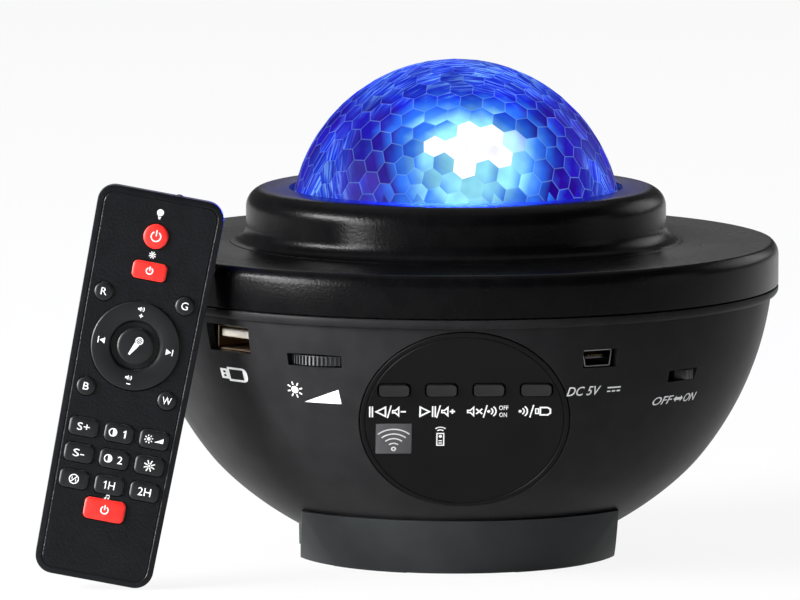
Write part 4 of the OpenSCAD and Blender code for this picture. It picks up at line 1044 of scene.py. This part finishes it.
def shifted(layers, by_x, by_y):
    return [[[(x + by_x, y + by_y) for x, y in shape] for shape in layer] for layer in layers]


def power_shapes(r, width):
    return [[band_shape(0, 0, r - width, r, 120, 420)], *boxes((0, r * 0.62, width, r * 1.15))]


def speaker_shapes(x, y, s):
    """A small loudspeaker with two sound waves, as large as s."""
    body = [(x - s, y - 0.3 * s), (x - 0.55 * s, y - 0.3 * s), (x, y - 0.75 * s), (x, y + 0.75 * s),
            (x - 0.55 * s, y + 0.3 * s), (x - s, y + 0.3 * s)]
    waves = [[band_shape(x, y, inner * s, outer * s, -50, 50, 8)]
             for inner, outer in ((0.35, 0.52), (0.75, 0.95))]
    return [[body], *waves]


def ray_shapes(x, near, far, width, first):
    """Eight rays between two distances from a point, the first at an angle in degrees."""
    rays = []
    for i in range(8):
        a = math.radians(45 * i + first)
        ends = [(x + r * math.cos(a), r * math.sin(a)) for r in (near, far)]
        rays.append([line_shape(*ends, width)])
    return rays


def sun_shapes(x, core, reach, width):
    return [[disc_shape(x, 0, core)]] + ray_shapes(x, reach * 0.62, reach, width, 12)


def star_shapes(reach, width):
    """A beam: rays from one point."""
    return ray_shapes(0, 0.3 * reach, reach, width, 22.5) + [[disc_shape(0, 0, width * 0.9, 12)]]


def one_shapes(x, height, w):
    """The number one: an upright with a flag."""
    top = height / 2
    return [[box_shape(x, 0, w, height)],
            [[(x - 0.55, top - 0.62), (x - 0.55, top - 0.62 + w * 0.8), (x, top), (x, top - w * 0.9)]]]


def print_shapes(name, layers):
    """Makes each layer of closed outlines one flat curve, turns them to mesh and joins them. An outline
    inside another is a hole."""
    parts = []
    for layer in layers:
        curve = bpy.data.curves.new(name, "CURVE")
        curve.dimensions = "2D"
        curve.fill_mode = "BOTH"
        curve.extrude = INK_T / 2
        for points in layer:
            spline = curve.splines.new("POLY")
            spline.points.add(len(points) - 1)
            for point, (x, y) in zip(spline.points, points):
                point.co = (x, y, 0, 1)
            spline.use_cyclic_u = True
        part = bpy.data.objects.new(name, curve)
        bpy.context.scene.collection.objects.link(part)
        only(part)
        bpy.ops.object.convert(target="MESH")
        parts.append(bpy.context.object)
    whole = join(parts) if len(parts) > 1 else parts[0]
    whole.name = whole.data.name = name
    return whole


def print_words(name, words, height, width=None, at=(0, 0), slant=0.0, weight=0.0):
    """Words as a flat mesh, scaled to the height and width that they are printed at."""
    bpy.ops.object.text_add()
    text = bpy.context.object
    text.data.body = words
    text.data.size = 1.4 * height
    text.data.shear = slant
    text.data.offset = weight
    text.data.extrude = INK_T / 2
    text.data.resolution_u = 3
    only(text)
    bpy.ops.object.convert(target="MESH")
    text = bpy.context.object
    text.name = text.data.name = name
    spans = [(min(values), max(values)) for values in zip(*(vertex.co.xy for vertex in text.data.vertices))]
    sizes = [high - low for low, high in spans]
    grow_y = height / sizes[1]
    grow_x = width / sizes[0] if width else grow_y
    centre = [(low + high) / 2 for low, high in spans]
    grow = Matrix.Diagonal((grow_x, grow_y, 1, 1))
    text.data.transform(move(*at, 0) @ grow @ move(-centre[0], -centre[1], 0))
    return text


def wrap_on_bowl(ink, azimuth, z):
    """Lays a flat print round the bowl at an angle and a height, as a pad prints it."""
    edit(ink)
    select_all()
    bpy.ops.mesh.quads_convert_to_tris()
    for _ in range(3):
        pick(ink, "edges", lambda middle, along: along.length > 2.0)
        bpy.ops.mesh.subdivide(number_cuts=1)
    bpy.ops.object.mode_set(mode="OBJECT")
    middle_pitch = math.asin((z - BOWL_CZ) / BOWL_R)
    for vertex in ink.data.vertices:
        x, y, up = vertex.co
        pitch = middle_pitch + y / BOWL_R
        yaw = math.radians(azimuth) + x / (BOWL_R * math.cos(middle_pitch))
        r = BOWL_R + up + 0.015
        vertex.co = (r * math.cos(pitch) * math.sin(yaw), -r * math.cos(pitch) * math.cos(yaw),
                     BOWL_CZ + r * math.sin(pitch))
    settle(ink, HOUSING, "housing", SHADES["ink"], smooth=0)


def lay_on_panel(ink, shade="ink"):
    settle(ink, PANEL @ move(0, 0, PANEL_D + INK_LIFT), "housing", SHADES[shade], smooth=0)


def lay_on_key(ink, body):
    place = REMOTE @ move(*KEY_PLACES[body], KEY_TOP + INK_LIFT)
    settle(ink, place, body, SHADES["ink"], smooth=0)


def print_bowl_symbols():
    """The symbols beside the ports: memory stick, sun and wedge, supply and switch."""
    body = [(-2.2, -1.9), (3.4, -1.9), (4.3, -1.5), (4.7, -0.7), (4.7, 0.7), (4.3, 1.5), (3.4, 1.9),
            (-2.2, 1.9)]
    inner = [(-1.6, -1.35), (3.3, -1.35), (3.3, 1.35), (-1.6, 1.35)]
    plug = [(-4.9, -1.35), (-2.1, -1.35), (-2.1, 1.35), (-4.9, 1.35)]
    pins = [box_shape(-3.5, 0.5, 0.95, 0.6), box_shape(-3.5, -0.5, 0.95, 0.6)]
    wrap_on_bowl(print_shapes("memory_stick_symbol", [[body, inner], [plug, *pins]]), -47.5, 52.3)
    wrap_on_bowl(print_shapes("sun_symbol", sun_shapes(0, 0.98, 2.2, 0.32)), -33.3, 49.95)
    wrap_on_bowl(print_shapes("wedge_symbol", [[[(-5.1, -1.9), (5.2, -1.9), (4.9, 2.0)]]]), -27.8, 48.7)
    volts = print_words("supply_volts", "DC 5V", 2.5, 9.2, (-3.0, 0), 0.25, 0.02)
    line = print_shapes("supply_line", boxes((5.4, 0.5, 3.8, 0.38), (4.0, -0.5, 0.95, 0.38),
                                             (5.4, -0.5, 0.95, 0.38), (6.8, -0.5, 0.95, 0.38)))
    wrap_on_bowl(join([volts, line], "supply_symbol"), 24.9, 50.15)
    off = print_words("switch_off", "OFF", 2.3, 7.0, (-4.6, 0), 0.25, 0.012)
    on = print_words("switch_on", "ON", 2.3, 4.9, (5.6, 0), 0.25, 0.012)
    tip, neck, half, wide = 1.75, 0.85, 0.38, 0.85
    right = [(neck, -wide), (tip, 0), (neck, wide), (neck, half)]
    arrow = right + [(-x, y) for x, y in reversed(right)] + [(-neck, -half), (neck, -half)]
    arrow = print_shapes("switch_arrow", shifted([[arrow]], 0.95, 0))
    wrap_on_bowl(join([off, on, arrow], "switch_words"), 45.3, 45.8)


def print_panel_symbols():
    """The row of symbols under the panel's keys, the receiver's arcs and the sign beside its window."""

    def horn(x):
        cone = [(x, -0.5), (x + 0.75, -0.5), (x + 1.85, -1.65), (x + 1.85, 1.65), (x + 0.75, 0.5), (x, 0.5)]
        return [frame_shape(cone, 0.36)]

    def slash(x):
        return [[line_shape((x - 0.45, -1.85), (x + 0.45, 1.85), 0.34)]]

    def uprights(*places):
        return boxes(*[(x, 0, 0.36, 3.2) for x in places])

    def stick(x):
        body = [(x, -1.3), (x + 2.1, -1.3), (x + 2.9, -0.7), (x + 2.9, 0.7), (x + 2.1, 1.3), (x, 1.3)]
        plug = [(x - 1.1, -0.85), (x - 0.1, -0.85), (x - 0.1, 0.85), (x - 1.1, 0.85)]
        return [frame_shape(body, 0.42), frame_shape(plug, 0.3)]

    def waves(x):
        return [[disc_shape(x, 0, 0.4, 12)], [band_shape(x, 0, 0.85, 1.2, -55, 55, 8)],
                [band_shape(x, 0, 1.65, 2.0, -50, 50, 8)]]

    previous = uprights(-23.6, -22.95) + [frame_shape([(-19.5, -1.7), (-19.5, 1.7), (-22.4, 0)], 0.4)]
    previous += slash(-18.75) + horn(-18.1) + boxes((-15.3, 0, 1.3, 0.42))
    play = [frame_shape([(-11.3, -1.7), (-8.4, 0), (-11.3, 1.7)], 0.4)] + uprights(-8.0, -7.35)
    play += slash(-6.55) + horn(-5.9)
    play += boxes((-3.1, 0, 1.3, 0.42), (-3.1, 0.43, 0.42, 0.44), (-3.1, -0.43, 0.42, 0.44))
    mute = horn(0.5) + [[line_shape((2.8, -rise), (4.3, rise), 0.38)] for rise in (0.75, -0.75)]
    mute += slash(5.05) + waves(5.9)
    mode = waves(13.7) + slash(16.6) + stick(18.5)
    up = 2.72
    symbols = print_shapes("panel_symbols", shifted(previous + play + mute + mode, 0, up))
    on = print_words("panel_on", "ON", 1.3, 1.9, (9.5, up - 1.05), weight=0.01)
    off = print_words("panel_off", "OFF", 1.3, 2.3, (9.6, up + 1.05), weight=0.01)
    lay_on_panel(join([symbols, on, off]))
    x, y = IR_AT
    arcs = [[band_shape(x, y - 3.0, r, r + 0.34, 48, 132, 16)] for r in (1.5, 2.9, 4.3, 5.7)]
    arcs.append(hoop(x, y - 3.0, 0.65, 0.3))
    lay_on_panel(print_shapes("receiver_symbol", arcs), "grey_ink")
    # a plain remote control with its rays, right of the window
    hand = [(-1.0, -2.2), (1.0, -2.2), (1.0, 1.6), (-1.0, 1.6)]
    sign = [frame_shape(hand, 0.3), [disc_shape(0, 0.6, 0.42, 12)]]
    sign += boxes((0, -0.7, 0.9, 0.28), (0, -1.4, 0.9, 0.28))
    sign += [[band_shape(0, 1.4, r, r + 0.28, 50, 130, 10)] for r in (1.0, 1.8)]
    lay_on_panel(print_shapes("remote_sign", shifted(sign, -6.0, -5.3)))


def print_key_symbols():
    """Letters, numbers and symbols on the remote's keys."""
    # each as its letters, height and width
    words = {
        "red": ("R", 1.7, 1.35), "green": ("G", 1.75, 1.6), "blue": ("B", 1.7, 1.35), "white": ("W", 1.7, 2.2),
        "speed_up": ("S+", 1.75, 3.0), "speed_down": ("S-", 1.75, 2.7), "1_hour": ("H", 1.85, 1.5),
        "2_hour": ("2H", 1.85, 3.1),
    }
    for key, (letters, height, width) in words.items():
        ink = print_words(f"remote_{key}_letter", letters, height * 1.08, width * 1.05)
        if key == "1_hour":
            ink.data.transform(move(0.62, 0, 0))
            ink = join([ink, print_shapes("one", one_shapes(-0.9, height * 1.08, 0.28))])
        lay_on_key(ink, f"remote_{key}_key")
    for key, r in (("lamp", 1.35), ("laser", 0.95), ("music", 1.05)):
        lay_on_key(print_shapes(f"remote_{key}_power_symbol", power_shapes(r, 0.3)), f"remote_{key}_key")
    for key in ("fade_1", "fade_2"):
        # two discs that shade into each other, and the number
        discs = [hoop(-1.5, 0, 1.05, 0.78), [band_shape(-1.5, 0, 0.0, 0.78, -90, 90)]]
        discs = print_shapes("fade_discs", discs)
        if key == "fade_1":
            digit = print_shapes("fade_number", one_shapes(1.6, 1.9, 0.36))
        else:
            digit = print_words("fade_number", "2", 1.9, at=(1.5, 0), weight=0.02)
        lay_on_key(join([discs, digit], f"remote_{key}_symbol"), f"remote_{key}_key")
    wedge = [[[(0.1, -0.6), (2.3, -0.6), (2.3, 0.6)]]]
    motor = [hoop(0, 0, 1.25, 1.0)]
    for line in (((-0.72, -0.72), (0.72, 0.72), 0.24), ((-0.5, 0.55), (-0.5, -0.1), 0.2),
                 ((0.5, -0.55), (0.5, 0.1), 0.2)):
        motor.append([line_shape(*line)])
    for key, layers in (("brightness", sun_shapes(-1.35, 0.42, 1.1, 0.24) + wedge),
                        ("laser_light", star_shapes(1.45, 0.26)), ("motor", motor)):
        lay_on_key(print_shapes(f"remote_{key}_symbol", layers), f"remote_{key}_key")
    # the microphone, leaning right
    mic = [hoop(0, 1.6, 0.98, 0.76)] + boxes((0, 1.6, 1.6, 0.2), (0, 2.02, 1.2, 0.16), (0, 1.18, 1.2, 0.16))
    mic.append([[(-0.66, 0.62), (0.66, 0.62), (0.24, -2.6), (-0.24, -2.6)]])
    mic = print_shapes("remote_mic_symbol", mic)
    mic.data.transform(turn(-28, "Z"))
    lay_on_key(mic, "remote_mic_key")
    # louder and quieter up and down the ring, previous and next to its sides
    mid = (RING_R + RING_IN_R) / 2
    ring = speaker_shapes(-0.2, mid + 0.7, 0.85) + speaker_shapes(-0.2, 0.6 - mid, 0.85)
    ring += boxes((0, mid - 0.95, 1.0, 0.24), (0, mid - 0.6, 0.24, 0.36), (0, mid - 1.3, 0.24, 0.36),
                  (0, -mid - 0.95, 1.0, 0.24))
    for side in (-1, 1):
        ring.append([[(side * (mid - 0.9), -0.75), (side * (mid - 0.9), 0.75), (side * (mid + 0.45), 0)]])
        ring += boxes((side * (mid + 0.75), 0, 0.24, 1.6))
    lay_on_key(print_shapes("remote_ring_symbols", ring), "remote_ring_key")


def print_key_signs():
    """Lamp, beam and note on the remote's face, over its red keys."""
    bulb = [[disc_shape(0, 0.35, 0.95)]] + boxes((0, -0.95, 0.8, 0.26), (0, -1.35, 0.6, 0.24))
    note = [[disc_shape(-0.75, -0.75, 0.5, 16)], [disc_shape(0.85, -0.55, 0.5, 16)]]
    note += boxes((-0.37, 0.2, 0.24, 1.9), (1.23, 0.4, 0.24, 1.9))
    note.append([[(-0.49, 0.75), (1.35, 0.95), (1.35, 1.4), (-0.49, 1.2)]])
    for name, layers, y, size in (("lamp", bulb, 43.9, 0.9), ("beam", star_shapes(1.1, 0.24), 33.5, 0.85),
                                  ("music", note, -27.85, 0.48)):
        ink = print_shapes(f"remote_{name}_sign", layers)
        ink.data.transform(Matrix.Scale(size, 4))
        place = REMOTE @ move(0, y, REMOTE_T + INK_LIFT)
        settle(ink, place, "remote", SHADES["ink"], smooth=0)


model_bowl()
model_cover()
model_foot()
model_dome()
model_wheel()
model_usb_socket()
model_inlet()
model_switch_knob()
model_panel()
model_panel_keys()
model_remote_front()
model_remote_back()
model_remote_keys()
print_bowl_symbols()
print_panel_symbols()
print_key_symbols()
print_key_signs()

# ---- Floor, light and camera ----


def studio_white(name, colour, share):
    """Pale matt paint that is white to the eye, in a mirror and through glass, and still takes a soft
    shadow."""
    made, tree, shader, _ = material(name, colour, 0.9, 1.4)
    path = add(tree, "ShaderNodeLightPath")
    seen = path.outputs["Is Camera Ray"]
    for ray in ("Is Glossy Ray", "Is Transmission Ray"):
        either = add(tree, "ShaderNodeMath", {"operation": "MAXIMUM"}, {0: seen, 1: path.outputs[ray]})
        seen = either.outputs["Value"]
    part = add(tree, "ShaderNodeMath", {"operation": "MULTIPLY"}, {0: seen, 1: share})
    glow = add(tree, "ShaderNodeEmission", None, {"Color": (1, 1, 1, 1), "Strength": 1.0})
    mix = add(tree, "ShaderNodeMixShader", None,
              {0: part.outputs["Value"], 1: shader.outputs["BSDF"], 2: glow.outputs["Emission"]})
    tree.links.new(mix.outputs["Shader"], tree.nodes["Material Output"].inputs["Surface"])
    return made


def add_lamp(name, kind, at, aim, power):
    light = bpy.data.lights.new(name, kind)
    light.energy = power
    lamp = bpy.data.objects.new(name, light)
    lamp.location = at
    lamp.rotation_euler = (Vector(aim) - Vector(at)).to_track_quat("-Z", "Y").to_euler()
    bpy.context.scene.collection.objects.link(lamp)
    return light


def build_studio():
    """The pale floor and backdrop, the soft lamps and the dim room."""
    bpy.ops.mesh.primitive_plane_add(size=40)
    floor = only(bpy.context.object)
    floor.name = "floor"
    floor.data.materials.append(studio_white("studio_floor", "#d9d9d9", 0.9))
    bpy.ops.mesh.primitive_plane_add(size=1, location=(0, 3.4, 1.3), rotation=(math.pi / 2, 0, 0),
                                     scale=(7, 2.6, 1))
    backdrop = only(bpy.context.object)
    backdrop.name = "backdrop"
    backdrop.data.materials.append(studio_white("studio_backdrop", "#f2f2f2", 1.0))
    world = bpy.data.worlds.new("room")
    bpy.context.scene.world = world
    world.use_nodes = True
    background = world.node_tree.nodes["Background"].inputs
    background["Color"].default_value = hex_colour("#ffffff")
    background["Strength"].default_value = 0.1
    # name, place, point looked at, size, power in watts
    for name, at, aim, size, power in [("key_softbox", (-1.8, -0.45, 0.85), (0, 0, 0.06), (1.1, 0.28), 96),
                                       ("left_softbox", (-1.45, -0.75, 0.24), (0, 0, 0.04), (0.6, 0.6), 52),
                                       ("right_softbox", (1.7, -0.3, 0.35), (0, 0, 0.05), (0.7, 0.7), 2),
                                       ("back_softbox", (1.5, 1.3, 0.7), (0, 0, 0.06), (1.2, 0.8), 7)]:
        softbox = add_lamp(name, "AREA", at, aim, power)
        softbox.shape = "RECTANGLE"
        softbox.size, softbox.size_y = size
    add_lamp("ceiling_light", "SUN", (0, 0.8, 3), (0, 0, 0), 0.65).angle = math.radians(70)
    # the lamp inside: its cone stops just under level, so that it lights the collar and not the remote
    inside = add_lamp("dome_light", "SPOT", (0, 0, 0.105), (0, 0, 0), 18)
    inside.spot_size, inside.spot_blend = math.radians(172), 0.03
    inside.color = (0.006, 0.02, 1.0)
    inside.shadow_soft_size = 0.008


def place_camera():
    """A long lens from a little above the rim, turned a little to the panel's left."""
    azimuth, elevation, distance = math.radians(-1.806), math.radians(6.81), 2.1316
    focal_px, centre_px = 8322.65, (456.0, 318.2)
    width, height = 800, 600
    back = Vector((math.sin(azimuth) * math.cos(elevation), -math.cos(azimuth) * math.cos(elevation),
                   math.sin(elevation)))
    data = bpy.data.cameras.new("camera")
    data.sensor_fit = "HORIZONTAL"
    data.sensor_width = 36.0
    data.lens = focal_px / width * data.sensor_width
    data.shift_x = (width / 2 - centre_px[0]) / width
    data.shift_y = (centre_px[1] - height / 2) / width
    data.clip_end = 60
    camera = bpy.data.objects.new("camera", data)
    camera.location = Vector((0, 0, 0.06)) + back * distance
    camera.rotation_euler = (-back).to_track_quat("-Z", "Y").to_euler()
    bpy.context.scene.collection.objects.link(camera)
    bpy.context.scene.camera = camera


build_studio()
place_camera()
bpy.context.scene.view_settings.view_transform = "Standard"

deselect()
